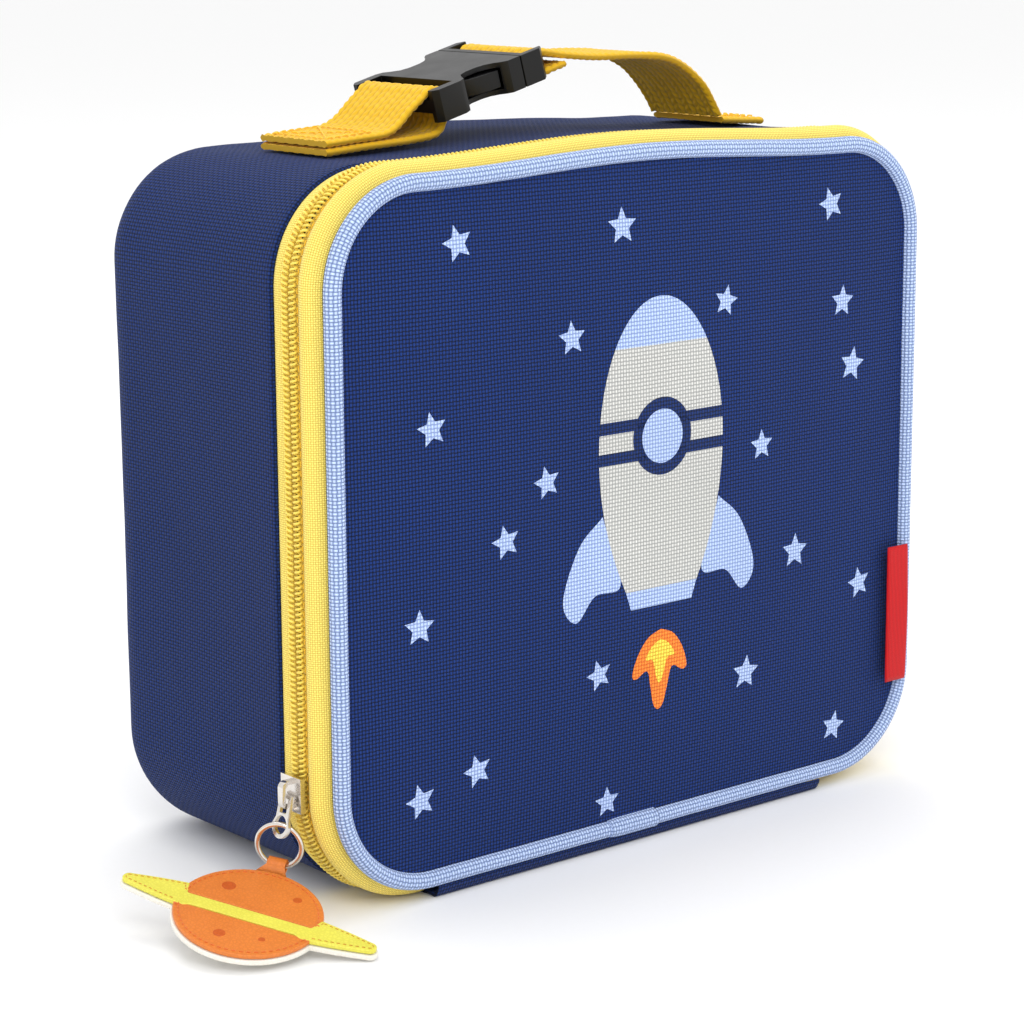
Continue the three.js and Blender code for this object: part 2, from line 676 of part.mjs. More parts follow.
function arcPoints(x, z, radius, from, to) {
  return Array.from({ length: 6 }, (_, i) => {
    const a = from + ((to - from) * i) / 5;
    return new THREE.Vector2(x + radius * Math.cos(a), z + radius * Math.sin(a));
  });
}
place("charm_tab", "orange", charmTab(), charm);

export default part;
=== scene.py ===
# %% [markdown]
# # A child's insulated lunch bag
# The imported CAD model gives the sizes, the places and the joints. This script dresses it. It keeps the
# buckle and the zip's slider, pull link and stops, and rounds their edges. It replaces the other solids
# with cloth, foam, cord, coil, webbing, wire and leather. Each step below first says what the real piece
# is and how it could be made, and then makes it.

import json
import math

import bmesh
import bpy
import numpy as np
from mathutils import Matrix, Vector, noise
from mathutils.bvhtree import BVHTree
from mathutils.geometry import delaunay_2d_cdt

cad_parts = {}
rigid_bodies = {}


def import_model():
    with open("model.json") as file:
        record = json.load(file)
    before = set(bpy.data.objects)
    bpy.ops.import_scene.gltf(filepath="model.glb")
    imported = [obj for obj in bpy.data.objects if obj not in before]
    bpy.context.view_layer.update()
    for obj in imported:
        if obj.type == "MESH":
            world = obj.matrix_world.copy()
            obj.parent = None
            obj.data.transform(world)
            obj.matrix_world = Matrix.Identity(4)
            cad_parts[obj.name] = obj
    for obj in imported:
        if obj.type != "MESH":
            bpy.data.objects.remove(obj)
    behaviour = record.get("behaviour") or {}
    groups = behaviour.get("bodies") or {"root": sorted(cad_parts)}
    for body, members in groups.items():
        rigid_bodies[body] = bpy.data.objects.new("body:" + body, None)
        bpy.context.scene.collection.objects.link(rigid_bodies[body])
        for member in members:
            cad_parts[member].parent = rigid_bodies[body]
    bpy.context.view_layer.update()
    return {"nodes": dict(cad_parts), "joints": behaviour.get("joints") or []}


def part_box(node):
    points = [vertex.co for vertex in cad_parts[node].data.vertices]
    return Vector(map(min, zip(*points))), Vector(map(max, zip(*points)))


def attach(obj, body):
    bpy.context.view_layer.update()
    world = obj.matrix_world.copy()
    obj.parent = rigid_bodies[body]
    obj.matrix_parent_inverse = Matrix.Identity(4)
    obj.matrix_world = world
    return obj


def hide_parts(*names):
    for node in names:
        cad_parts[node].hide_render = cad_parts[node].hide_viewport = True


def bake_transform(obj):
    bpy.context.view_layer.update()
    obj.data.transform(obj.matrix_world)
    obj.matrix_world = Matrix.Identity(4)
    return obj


for leftover in list(bpy.data.objects):
    bpy.data.objects.remove(leftover)
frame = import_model()

# %% [markdown]
# ## Where the camera stands
# The camera looks at the middle of the bag from its front left and a little above. Its lens is long, so
# the bag's edges stay nearly parallel.

# %% Camera
MM = 0.001
CAMERA_SIDE = math.radians(-39.8)
CAMERA_RISE = math.radians(12.25)
CAMERA_ROLL = -0.36
CAMERA_DISTANCE = 0.890
CAMERA_LENS = 101.8
CAMERA_SENSOR = 36
CAMERA_TARGET = Vector((-0.0027, 0.0, 0.0914))


def place_camera():
    data = bpy.data.cameras.new("camera")
    data.lens, data.sensor_width = CAMERA_LENS, CAMERA_SENSOR
    camera = bpy.data.objects.new("camera", data)
    bpy.context.collection.objects.link(camera)
    back = Vector((
        math.sin(CAMERA_SIDE) * math.cos(CAMERA_RISE),
        -math.cos(CAMERA_SIDE) * math.cos(CAMERA_RISE),
        math.sin(CAMERA_RISE),
    ))
    camera.location = CAMERA_TARGET + back * CAMERA_DISTANCE
    camera.rotation_euler = (-back).to_track_quat("-Z", "Y").to_euler()
    camera.rotation_euler.rotate_axis("Z", math.radians(CAMERA_ROLL))
    bpy.context.scene.camera = camera
    return camera


camera = place_camera()
print("camera at", [round(v, 3) for v in camera.location])

# %% [markdown]
# ## Sizes
# All the cloth follows one outline, the rim of the bag seen from the front. Its corner radii, its crown
# and the piping's size are set here. Its width, height and depths are read from the boxes of the CAD
# nodes. The rim is kept as a table by arc length, from the middle of the base round to the left, so that
# any strip can be laid along it.

# %% Sizes and the rim
def box_mm(node):
    low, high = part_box(node)
    return np.array(low) / MM, np.array(high) / MM


gusset_low, gusset_high = box_mm("gusset_fabric")
CROWN = 3.0
TOP_RADIUS = 32.0
BASE_RADIUS = 34.0
BACK_ROUNDING = 14.0
LID_LIFT = 2.5
WIDTH = gusset_high[0] - gusset_low[0]
HEIGHT = gusset_high[2] - CROWN
BACK_Y = gusset_high[1]
FABRIC_Y = gusset_low[1]
ZIP_Y = (box_mm("zip_coil_case")[0][1] + box_mm("zip_coil_lid")[1][1]) / 2
piping_low, piping_high = box_mm("piping_cover")
PIPING_Y = (piping_low[1] + piping_high[1]) / 2
PIPING_RADIUS = 2.6
PIPING_INSET = 3.7
FLAP_LEFT, FLAP_RIGHT = box_mm("hinge_flap")[0][0], box_mm("hinge_flap")[1][0]
RIM_COUNT = 330
CORNER_SHARE = 0.293  # how far in the middle of a round corner lies, as a share of its radius


def rim_table(step=0.4):
    half = WIDTH / 2

    def arc(cx, cz, radius, start, end):
        turn = np.radians(np.linspace(start, end, int(radius * 1.6 / step)))
        return np.c_[cx + radius * np.cos(turn), cz + radius * np.sin(turn), np.cos(turn), np.sin(turn)]

    def side(x, z0, z1, nx):
        z = np.linspace(z0, z1, int(abs(z1 - z0) / step))
        return np.c_[np.full_like(z, x), z, np.full_like(z, nx), np.zeros_like(z)]

    def base(x0, x1):
        x = np.linspace(x0, x1, int(abs(x1 - x0) / step))
        return np.c_[x, np.zeros_like(x), np.zeros_like(x), -np.ones_like(x)]

    reach, foot = half - TOP_RADIUS, half - BASE_RADIUS
    x = np.linspace(-reach, reach, int(2 * reach / step))
    slope = -CROWN / 2 * np.pi / reach * np.sin(np.pi * x / reach)
    tall = np.hypot(slope, 1)
    top = np.c_[x, HEIGHT + CROWN / 2 * (1 + np.cos(np.pi * x / reach)), -slope / tall, 1 / tall]
    rows = np.vstack([
        base(0, -foot),
        arc(-foot, BASE_RADIUS, BASE_RADIUS, 270, 180),
        side(-half, BASE_RADIUS, HEIGHT - TOP_RADIUS, -1),
        arc(-reach, HEIGHT - TOP_RADIUS, TOP_RADIUS, 180, 90),
        top,
        arc(reach, HEIGHT - TOP_RADIUS, TOP_RADIUS, 90, 0),
        side(half, HEIGHT - TOP_RADIUS, BASE_RADIUS, 1),
        arc(foot, BASE_RADIUS, BASE_RADIUS, 360, 270),
        base(foot, 0),
    ])
    keep = np.r_[True, np.hypot(*np.diff(rows[:, :2], axis=0).T) > 1e-6]
    rows = rows[keep]
    return rows, np.r_[0, np.cumsum(np.hypot(*np.diff(rows[:, :2], axis=0).T))]


RIM, RIM_S = rim_table()
RIM_LENGTH = RIM_S[-1]


def rim_at(s):
    """x, z and the outward normal at arc length s."""
    s = np.mod(s, RIM_LENGTH)
    x, z, nx, nz = (np.interp(s, RIM_S, RIM[:, k]) for k in range(4))
    size = np.hypot(nx, nz)
    return x, z, nx / size, nz / size


def rim_normal(s):
    """The outward normal at arc length s, as a vector."""
    _, _, nx, nz = rim_at(s)
    return np.stack([nx, np.zeros_like(nx), nz], -1)


def lift_at(y, z):
    """How far the cloth is raised in front of the case's edge. It fades out towards half the bag's height."""
    forward = np.clip((-y + FABRIC_Y) / 20, 0, 1)
    return LID_LIFT * forward**2 * (3 - 2 * forward) * np.clip(1 - z / (HEIGHT / 2), 0, None)


def rim_places(s, inset, y):
    """Places along the rim, set in from it and at depth y. The three broadcast together."""
    x, z, nx, nz = rim_at(s)
    x, z, nx, nz, inset, y = np.broadcast_arrays(x, z, nx, nz, inset, y)
    return np.stack([x - inset * nx, y, z - inset * nz + lift_at(y, z)], -1)


def s_where(x=None, z=None, left=True):
    """The arc length at a place on the left or the right half of the rim."""
    half = (RIM_S < RIM_LENGTH / 2) == left
    if x is None:
        gap = np.abs(RIM[:, 1] - z)
    else:
        gap = np.abs(RIM[:, 0] - x) + (RIM[:, 1] > HEIGHT / 2) * 999
    return RIM_S[half][np.argmin(gap[half])]


print(f"rim {RIM_LENGTH:.0f} mm, bag {WIDTH:.0f} x {HEIGHT + CROWN:.0f} mm")

# %% [markdown]
# ## Shader maths that reads like Python
# A material is a sum: cloth is threads, and a thread is a sine wave. To keep those sums readable, `Wire`
# wraps a shader socket so that `+`, `-`, `*`, `**` and `>` build the maths nodes, and `Paint` holds one
# material and makes any other node.

# %% Shader helpers
def colour(code):
    """A linear colour from a web colour code."""
    parts = [int(code[i : i + 2], 16) / 255 for i in (1, 3, 5)]
    return tuple(c / 12.92 if c <= 0.04045 else ((c + 0.055) / 1.055) ** 2.4 for c in parts) + (1.0,)


class Wire:
    def __init__(self, paint, socket):
        self.paint, self.socket = paint, socket

    def __add__(self, other):
        return self.paint.maths("ADD", self, other)

    def __sub__(self, other):
        return self.paint.maths("SUBTRACT", self, other)

    def __rsub__(self, other):
        return self.paint.maths("SUBTRACT", other, self)

    def __mul__(self, other):
        return self.paint.maths("MULTIPLY", self, other)

    def __pow__(self, other):
        return self.paint.maths("POWER", self, other)

    def __gt__(self, other):
        return self.paint.maths("GREATER_THAN", self, other)

    def sin(self):
        return self.paint.maths("SINE", self)

    def abs(self):
        return self.paint.maths("ABSOLUTE", self)

    def clamp(self, low=0.0, high=1.0):
        return self.paint.maths("MINIMUM", self.paint.maths("MAXIMUM", self, low), high)


class Paint:
    """One material: a Principled shader and the nodes that feed it."""

    def __init__(self, name):
        self.material = bpy.data.materials.new(name)
        self.material.use_nodes = True
        self.tree = self.material.node_tree
        self.shader = self.tree.nodes["Principled BSDF"]
        self.shared = {}

    def node(self, kind, settings=None, **values):
        made = self.tree.nodes.new(kind)
        for key, value in (settings or {}).items():
            setattr(made, key, value)
        for key, value in values.items():
            self.plug(made.inputs[key.replace("_", " ")], value)
        return made

    def plug(self, socket, value):
        if isinstance(value, Wire):
            self.tree.links.new(value.socket, socket)
        elif value is not None:
            socket.default_value = value

    def maths(self, operation, *values):
        made = self.tree.nodes.new("ShaderNodeMath")
        made.operation = operation
        for socket, value in zip(made.inputs, values):
            self.plug(socket, value)
        return Wire(self, made.outputs[0])

    def blend(self, first, second, share):
        """The first colour where share is 0, the second where it is 1."""
        made = self.node("ShaderNodeMix", {"data_type": "RGBA"})
        for place, value in ((0, share), (6, first), (7, second)):
            self.plug(made.inputs[place], value)
        return Wire(self, made.outputs[2])

    def shade(self, base, brightness):
        """A colour made lighter or darker by a number that varies."""
        made = self.node("ShaderNodeVectorMath", {"operation": "SCALE"})
        self.plug(made.inputs[0], base if isinstance(base, Wire) else base[:3])
        self.plug(made.inputs[3], brightness)
        return Wire(self, made.outputs[0])

    def cloth(self):
        """The cloth's own coordinates in millimetres, along and across."""
        if "cloth" not in self.shared:
            uv = self.node("ShaderNodeUVMap", {"uv_map": "cloth"})
            parts = self.node("ShaderNodeSeparateXYZ")
            self.tree.links.new(uv.outputs[0], parts.inputs[0])
            self.shared["cloth"] = [Wire(self, parts.outputs[k]) for k in (0, 1)]
        return self.shared["cloth"]

    def place(self):
        """The place on the object at rest, as a vector in metres."""
        if "place" not in self.shared:
            self.shared["place"] = Wire(self, self.node("ShaderNodeTexCoord").outputs["Object"])
        return self.shared["place"]

    def cloud(self, size_mm, detail=3.0, roughness=0.55):
        """Smooth random values around 0.5, whose blotches are about size_mm across."""
        made = self.node("ShaderNodeTexNoise", Scale=1000.0 / size_mm, Detail=detail, Roughness=roughness)
        self.plug(made.inputs["Vector"], self.place())
        return Wire(self, made.outputs["Fac"])

    def bump(self, height, depth_mm):
        made = self.node("ShaderNodeBump", Strength=1.0, Distance=depth_mm * MM)
        self.plug(made.inputs["Height"], height)
        return Wire(self, made.outputs[0])

    def finish(self, **values):
        for key, value in values.items():
            self.plug(self.shader.inputs[key.replace("_", " ")], value)
        return self.material


def plain_weave(u, v, pitch_u, pitch_v):
    """Thread height, 0 to 1, and a mask of where the lengthways threads are on top."""
    a, b = (u * (math.pi / pitch_u)).sin(), (v * (math.pi / pitch_v)).sin()
    over = (a * b) > 0.0
    up, cross = a.abs(), b.abs()
    lengthways = (up**0.7) * (cross * 0.45 + 0.55)
    crossways = (cross**0.7) * (up * 0.45 + 0.55)
    return lengthways * over + crossways * (1.0 - over), over


print("shader helpers ready")

# %% [markdown]
# ## The materials
# The bag is woven polyester: thick threads that catch the light on their crowns. Here that light is
# painted into the colour: each thread's crown is painted lighter as a painted highlight, and the colour
# between the threads is painted shade. Each cloth takes its threads from the sheet's own coordinates, so
# the weave follows the cloth round a corner and keeps its size. Printed shapes use the same threads, with
# the same painted highlights and shade, in another colour, because ink lies on the threads and doesn't
# fill them.

# %% Cloth materials
WEAVE_PITCH = (1.1, 1.1)
NET_PITCH, NET_HOLE = 2.4, 0.62
WEB_COLUMN = 32 / 13  # thirteen columns of loops across webbing 32 mm wide


def woven(name, thread, gap, pitch, depth=0.16, sheen=0.25, tint=0.12, roughness=0.82):
    """Plain-woven cloth: pitch is the thread spacing along and across, in millimetres."""
    p = Paint(name)
    u, v = p.cloth()
    wander = (p.cloud(16) - 0.5) * 0.5
    height, over = plain_weave(u + wander, v + wander, *pitch)
    worn = p.cloud(45, 4)
    fuzz = p.cloud(0.5, 2)
    # Painted light: brightness grows with each thread's height, a painted highlight on the crowns, and the
    # blend towards the gap colour is painted shade between the threads; the large blotches are random tone.
    painted_light_and_tone = (height * 0.75 + 0.42) * (worn * 0.22 + 0.89) * (over * tint + (1 - tint / 2))
    base = p.blend(colour(gap), p.shade(colour(thread), painted_light_and_tone), (height * 1.35 - 0.12).clamp())
    return p.finish(
        Base_Color=base,
        Roughness=(fuzz * 0.12 + roughness - 0.06).clamp(),
        Sheen_Weight=sheen,
        Sheen_Roughness=0.45,
        Specular_IOR_Level=0.2,
        Normal=p.bump(height + fuzz * 0.18, depth),
    )


def ink(name, thread, gap):
    """A printed colour: the same threads as the cloth below it."""
    return woven(name, thread, gap, WEAVE_PITCH, sheen=0.1)


# In each woven colour below, the second code is the colour between the threads, painted shade, and the first
# is lightened on the crowns as a painted highlight.
navy = woven("navy_polyester", "#163374", "#020718", WEAVE_PITCH, depth=0.3, sheen=0.03)
# The side cloth has its own finer, ribbed weave. Its threads are also painted a little darker than the
# front's, as painted shade on the bag's sides and hinge.
navy_side_shaded = woven("navy_polyester_side_shaded", "#16306c", "#020718", (1.0, 1.25), depth=0.3, sheen=0.04, tint=0.26)
print_blue = ink("print_light_blue", "#b7cbf5", "#7f95c9")
print_grey = ink("print_grey", "#cfcfcb", "#9d9e9d")
print_navy = ink("print_navy", "#142f6a", "#020718")
print_orange = ink("print_orange", "#ff8c36", "#d8641c")
print_yellow = ink("print_yellow", "#ffe055", "#dcae2a")
grosgrain = woven("piping_grosgrain", "#bdd0f6", "#6f88bf", (1.0, 1.3), depth=0.4, sheen=0.15, tint=0.2)
tape_weave = woven("zip_tape_weave", "#ffe878", "#e6c34a", (0.62, 0.7), depth=0.14, sheen=0.15, tint=0.14)
red_weave = woven(
    "red_satin_weave", "#d90f16", "#8f070c", (0.30, 0.62), depth=0.06, sheen=0.04, tint=0.06, roughness=0.5
)
cream_weave = woven("cream_cotton_tape", "#efece0", "#c4bfae", (0.6, 0.6), depth=0.1)


def webbing_material():
    """Coarse webbing: the ribs are in the mesh, and the shader adds the fine yarn, with painted shade between
    rib columns.
    """
    p = Paint("webbing_yarn")
    u, v = p.cloth()
    yarn = ((u * 1.6 + v * 0.55) * (math.pi / 0.34)).sin() * 0.5 + 0.5
    column, tone = (v * (math.pi / WEB_COLUMN)).sin().abs(), p.cloud(30, 3)
    # Painted light: column darkens each rib column towards its edges, as painted shade in the grooves between
    # the mesh's ribs, and yarn lightens the yarn's ridges as a painted highlight; tone is random.
    painted_light_and_tone = (yarn * 0.1 + 0.84) * (tone * 0.2 + 0.9) * ((column**0.5) * 0.4 + 0.66)
    return p.finish(
        Base_Color=p.shade(colour("#f0bd0c"), painted_light_and_tone),
        Roughness=(p.cloud(2) * 0.2 + 0.6).clamp(),
        Sheen_Weight=0.2,
        Sheen_Roughness=0.4,
        Specular_IOR_Level=0.35,
        Normal=p.bump(yarn * 0.6 + p.cloud(0.6) * 0.4, 0.08),
    )


def thread_material(name, code):
    """Twisted sewing thread."""
    p = Paint(name)
    twist = p.cloud(0.4, 2)
    return p.finish(
        Base_Color=p.shade(colour(code), twist * 0.5 + 0.75),
        Roughness=(twist * 0.2 + 0.45).clamp(),
        Sheen_Weight=0.2,
        Normal=p.bump(twist, 0.05),
    )


def lining_material():
    """Wipe-clean silver lining: a thin metallic film on cloth, with fine crinkles."""
    p = Paint("silver_lining")
    u, v = p.cloth()
    height, _ = plain_weave(u, v, 1.6, 1.6)
    crinkle = p.cloud(9, 5, 0.6)
    return p.finish(
        Base_Color=p.shade(colour("#c3c8cf"), crinkle * 0.3 + 0.82),
        Metallic=(crinkle * 0.25 + 0.45).clamp(),
        Roughness=(crinkle * 0.3 + 0.24).clamp(),
        Normal=p.bump(crinkle + height * 0.12, 0.9),
    )


def netting_material():
    """Knitted net: round holes between yarns, cut out by the alpha."""
    p = Paint("pocket_net")
    u, v = p.cloth()
    u, v = u * (math.pi / NET_PITCH), v * (math.pi / NET_PITCH)
    hole = (u.sin() * v.sin()).abs()
    between = ((u + math.pi / 2).sin() * (v + math.pi / 2).sin()).abs()
    solid = 1.0 - ((hole > NET_HOLE) + (between > NET_HOLE)).clamp()
    yarn = p.cloud(0.5, 2)
    return p.finish(
        Base_Color=p.shade(colour("#34508f"), yarn * 0.5 + 0.7),
        Roughness=0.8,
        Alpha=solid,
        Normal=p.bump(1.0 - hole, 0.3),
    )


webbing_yarn = webbing_material()
thread_yellow = thread_material("thread_yellow", "#f2bf16")
thread_orange = thread_material("thread_orange", "#d96712")
thread_ochre = thread_material("thread_ochre", "#c98a1a")
silver_lining = lining_material()
pocket_net = netting_material()
print("cloth materials:", len(bpy.data.materials))

# %% [markdown]
# Metal, moulded plastic and leather are smooth, so what shows is their finish: faint scratches and finger
# marks on the polished zip metal, a fine spark-eroded grain with shinier worn edges on the black buckle,
# and a soft pebble grain on the charm.

# %% Hard materials
def metal_material():
    p = Paint("polished_zip_metal")
    marks, scratch = p.cloud(3, 4), p.cloud(0.6, 6, 0.7)
    return p.finish(
        Base_Color=p.blend(colour("#cfc8c0"), colour("#e8e4df"), marks),
        Metallic=1.0,
        Roughness=(marks * 0.16 + scratch * 0.1 + 0.06).clamp(),
        Normal=p.bump(scratch, 0.015),
    )


def plastic_material():
    p = Paint("black_moulded_plastic")
    grain, marks = p.cloud(0.35, 2), p.cloud(9, 4)
    edge = Wire(p, p.node("ShaderNodeNewGeometry").outputs["Pointiness"])
    worn = ((edge - 0.52) * 9.0).clamp()
    return p.finish(
        Base_Color=p.blend(colour("#030304"), colour("#141416"), (worn * 0.4 + marks * 0.12).clamp()),
        Roughness=(marks * 0.16 + 0.27 - worn * 0.08).clamp(),
        Specular_IOR_Level=0.3,
        Normal=p.bump(grain, 0.02),
    )


def leather_material(name, code, dark):
    p = Paint(name)
    cells = p.node("ShaderNodeTexVoronoi", {"feature": "DISTANCE_TO_EDGE"}, Scale=1000 / 1.1)
    p.plug(cells.inputs["Vector"], p.place())
    pebble = (Wire(p, cells.outputs["Distance"]) * 4.0).clamp()
    tone = p.cloud(12, 4)
    return p.finish(
        Base_Color=p.blend(colour(dark), colour(code), (pebble * 0.35 + tone * 0.5 + 0.35).clamp()),
        Roughness=(tone * 0.15 + 0.38).clamp(),
        Specular_IOR_Level=0.4,
        Coat_Weight=0.12,
        Coat_Roughness=0.35,
        Normal=p.bump(pebble + p.cloud(0.4) * 0.4, 0.035),
    )


def coil_material():
    p = Paint("zip_coil_nylon")
    tone = p.cloud(4, 3)
    return p.finish(
        Base_Color=p.shade(colour("#fadf62"), tone * 0.3 + 0.82),
        Roughness=(tone * 0.15 + 0.33).clamp(),
        Specular_IOR_Level=0.45,
        Normal=p.bump(p.cloud(0.3), 0.02),
    )


zip_metal = metal_material()
black_plastic = plastic_material()
leather_orange = leather_material("charm_leather_orange", "#e07f2f", "#bd601d")
leather_lime = leather_material("charm_leather_lime", "#e6df55", "#c8be38")
leather_cream = leather_material("charm_leather_cream", "#f0ece2", "#d8d2c4")
leather_rust = leather_material("charm_leather_rust", "#c95a14", "#a9460e")
coil_nylon = coil_material()
print("all materials:", len(bpy.data.materials))

# %% [markdown]
# ## Mesh helpers
# Most of the bag is strips: a section carried along a line. A strip is a grid of places, and the same
# grid gives the cloth's own coordinates, in millimetres of cloth, for the weave.

# %% Mesh helpers
def mesh_of(name, places, faces):
    """A mesh from places in millimetres."""
    mesh = bpy.data.meshes.new(name)
    mesh.from_pydata((np.reshape(places, (-1, 3)) * MM).tolist(), [], faces)
    return mesh


def as_piece(name, mesh, material):
    mesh.materials.append(material)
    mesh.shade_smooth()
    piece = bpy.data.objects.new(name, mesh)
    bpy.context.collection.objects.link(piece)
    return piece


def settle(piece, body, slot, *nodes):
    """Puts a piece on its body and hides the CAD nodes that it stands for. slot, the name of its finish, is
    not used.
    """
    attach(piece, body)
    if nodes:
        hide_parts(*nodes)
    return piece


def grid_faces(n, m, loop_u=False, loop_v=False):
    i = np.arange(n if loop_u else n - 1)[:, None]
    j = np.arange(m if loop_v else m - 1)[None, :]
    i2, j2 = (i + 1) % n, (j + 1) % m
    faces = np.stack([i * m + j, i2 * m + j, i2 * m + j2, i * m + j2], -1).reshape(-1, 4)
    corners = np.stack(np.broadcast_arrays(i, j, i + 1, j, i + 1, j + 1, i, j + 1), -1)
    return faces, corners.reshape(-1, 4, 2)


def length_along(places, axis, closed):
    steps = np.linalg.norm(np.diff(places, axis=axis, append=places.take([0], axis)), axis=-1)
    total = np.cumsum(steps.mean(axis=1 - axis))
    return np.r_[0, total] if closed else np.r_[0, total[:-1]]


def strip(name, places, material, loop_u=False, loop_v=False, along=None, across=None, out=True):
    """A grid of places as a piece. along and across are the cloth's coordinates of its rows and columns."""
    n, m = places.shape[:2]
    faces, corners = grid_faces(n, m, loop_u, loop_v)
    mesh = mesh_of(name, places, faces.tolist())
    along = length_along(places, 0, loop_u) if along is None else along
    across = length_along(places, 1, loop_v) if across is None else across
    uv = np.stack([along[corners[..., 0]], across[corners[..., 1]]], -1).astype(np.float32)
    mesh.uv_layers.new(name="cloth").data.foreach_set("uv", uv.ravel())
    if not out:
        mesh.flip_normals()
    return as_piece(name, mesh, material)


def turn_out(piece, ends=()):
    """Fills the ends, if any are given as vertex numbers, and turns a closed mesh's faces outwards."""
    work = bmesh.new()
    work.from_mesh(piece.data)
    work.verts.ensure_lookup_table()
    for end in ends:
        work.faces.new([work.verts[k] for k in end])
    bmesh.ops.recalc_face_normals(work, faces=work.faces)
    work.to_mesh(piece.data)
    work.free()
    return piece


def face_towards(piece, direction):
    """Turns an open sheet over if most of it faces away from the direction, which may differ at each face."""
    mesh = piece.data
    centres = np.array([face.center for face in mesh.polygons])
    normals = np.array([face.normal for face in mesh.polygons])
    areas = np.array([face.area for face in mesh.polygons])
    wanted = direction(centres) if callable(direction) else np.array(direction, float)
    if ((normals * wanted).sum(1) * areas).sum() < 0:
        mesh.flip_normals()
    return piece


def close_ends(piece, n, m):
    """Fills the two open ends of a tube whose grid is n by m."""
    return turn_out(piece, [range(m), range((n - 1) * m, n * m)])


def unit(vectors):
    return vectors / np.linalg.norm(vectors, axis=-1, keepdims=True)


def travelled(line):
    """How far along a line each of its places is."""
    return np.r_[0, np.cumsum(np.linalg.norm(np.diff(line, axis=0), axis=1))]


def round_line(x, y, radius, start, end, count, last=True):
    """Places on a circle between two angles in degrees, with or without the last one."""
    turns = np.radians(np.linspace(start, end, count, endpoint=last))
    return [(x + radius * math.cos(a), y + radius * math.sin(a)) for a in turns]


def smooth_line(points, step=0.5, soften=6):
    """A smooth line through the points, with a place every step millimetres."""
    p = np.array(points, float)
    p = np.vstack([2 * p[0] - p[1], p, 2 * p[-1] - p[-2]])
    t = np.linspace(0, 1, 24, endpoint=False)[:, None]
    dense = [
        0.5 * (2 * b + (c - a) * t + (2 * a - 5 * b + 4 * c - d) * t**2 + (3 * b - a - 3 * c + d) * t**3)
        for a, b, c, d in zip(p[:-3], p[1:-2], p[2:-1], p[3:])
    ]
    dense = np.vstack([*dense, p[-2]])
    s = travelled(dense)
    even = np.linspace(0, s[-1], max(3, int(s[-1] / step)))
    line = np.stack([np.interp(even, s, dense[:, k]) for k in range(dense.shape[1])], -1)
    for _ in range(soften):
        line[1:-1] = (line[:-2] + 2 * line[1:-1] + line[2:]) / 4
    return line


def tube(name, path, radius, sides, material, reference, closed=False):
    """A round tube along a path of places; reference is a direction that isn't along it."""
    ahead = np.roll(path, -1, 0) - np.roll(path, 1, 0)
    if not closed:
        ahead[0], ahead[-1] = path[1] - path[0], path[-1] - path[-2]
    ahead = unit(ahead)
    reference = np.broadcast_to(reference, path.shape)
    first = unit(reference - (reference * ahead).sum(-1, keepdims=True) * ahead)
    second = np.cross(ahead, first)
    turn = np.linspace(0, 2 * np.pi, sides, endpoint=False)
    ring = first[:, None] * np.cos(turn)[:, None] + second[:, None] * np.sin(turn)[:, None]
    piece = strip(name, path[:, None] + ring * np.reshape(radius, (-1, 1, 1)), material, closed, True)
    return turn_out(piece) if closed else close_ends(piece, len(path), sides)


STITCH_STEPS, STITCH_SIDES = 7, 6


def stitches(name, path, outward, material, pitch=3.0, length=2.2, radius=0.28):
    """A row of stitches along a path: each is a short rounded thread whose two ends dive into the cloth."""
    s = travelled(path)
    outward = np.broadcast_to(outward, path.shape)
    t = np.linspace(-1, 1, STITCH_STEPS)
    turn = np.linspace(0, 2 * np.pi, STITCH_SIDES, endpoint=False)
    places, faces = [], []
    for middle in np.arange(pitch / 2, s[-1], pitch):
        at = middle + t * length / 2
        line = np.stack([np.interp(at, s, path[:, k]) for k in range(3)], -1)
        up = unit(np.stack([np.interp(at, s, outward[:, k]) for k in range(3)], -1))
        line += up * (radius * (0.75 - 1.5 * t[:, None] ** 4))
        ahead = unit(np.gradient(line, axis=0))
        side = np.cross(ahead, up)
        thick = radius * np.sqrt(np.clip(1.02 - t**6, 0.05, 1))[:, None, None]
        ring = side[:, None] * np.cos(turn)[:, None] + up[:, None] * np.sin(turn)[:, None]
        first = len(places) * STITCH_STEPS * STITCH_SIDES
        faces += (grid_faces(STITCH_STEPS, STITCH_SIDES, False, True)[0] + first).tolist()
        places.append((line[:, None] + ring * thick).reshape(-1, 3))
    return as_piece(name, mesh_of(name, np.vstack(places), faces), material)


def ripple(places, size_mm, seed):
    """A smooth random value, about -1 to 1, at each place."""
    flat = places.reshape(-1, 3) / size_mm
    shift = Vector((seed * 7.3, seed * 3.1, seed * 5.7))
    return np.array([noise.noise(Vector(p) + shift) for p in flat]).reshape(places.shape[:-1])


print("mesh helpers ready")

# %% [markdown]
# ## The case: a soft shell over foam
# The navy cloth wraps the foam in one long gusset that turns over a soft edge onto the back. Foam holds
# it nearly straight, but the cloth pulls in a little between its corners and ripples slightly. The shell
# is lofted round the rim, and the pulls and ripples are moves of its points along the rim's normal. The
# base stays flat, because the bag stands on it.

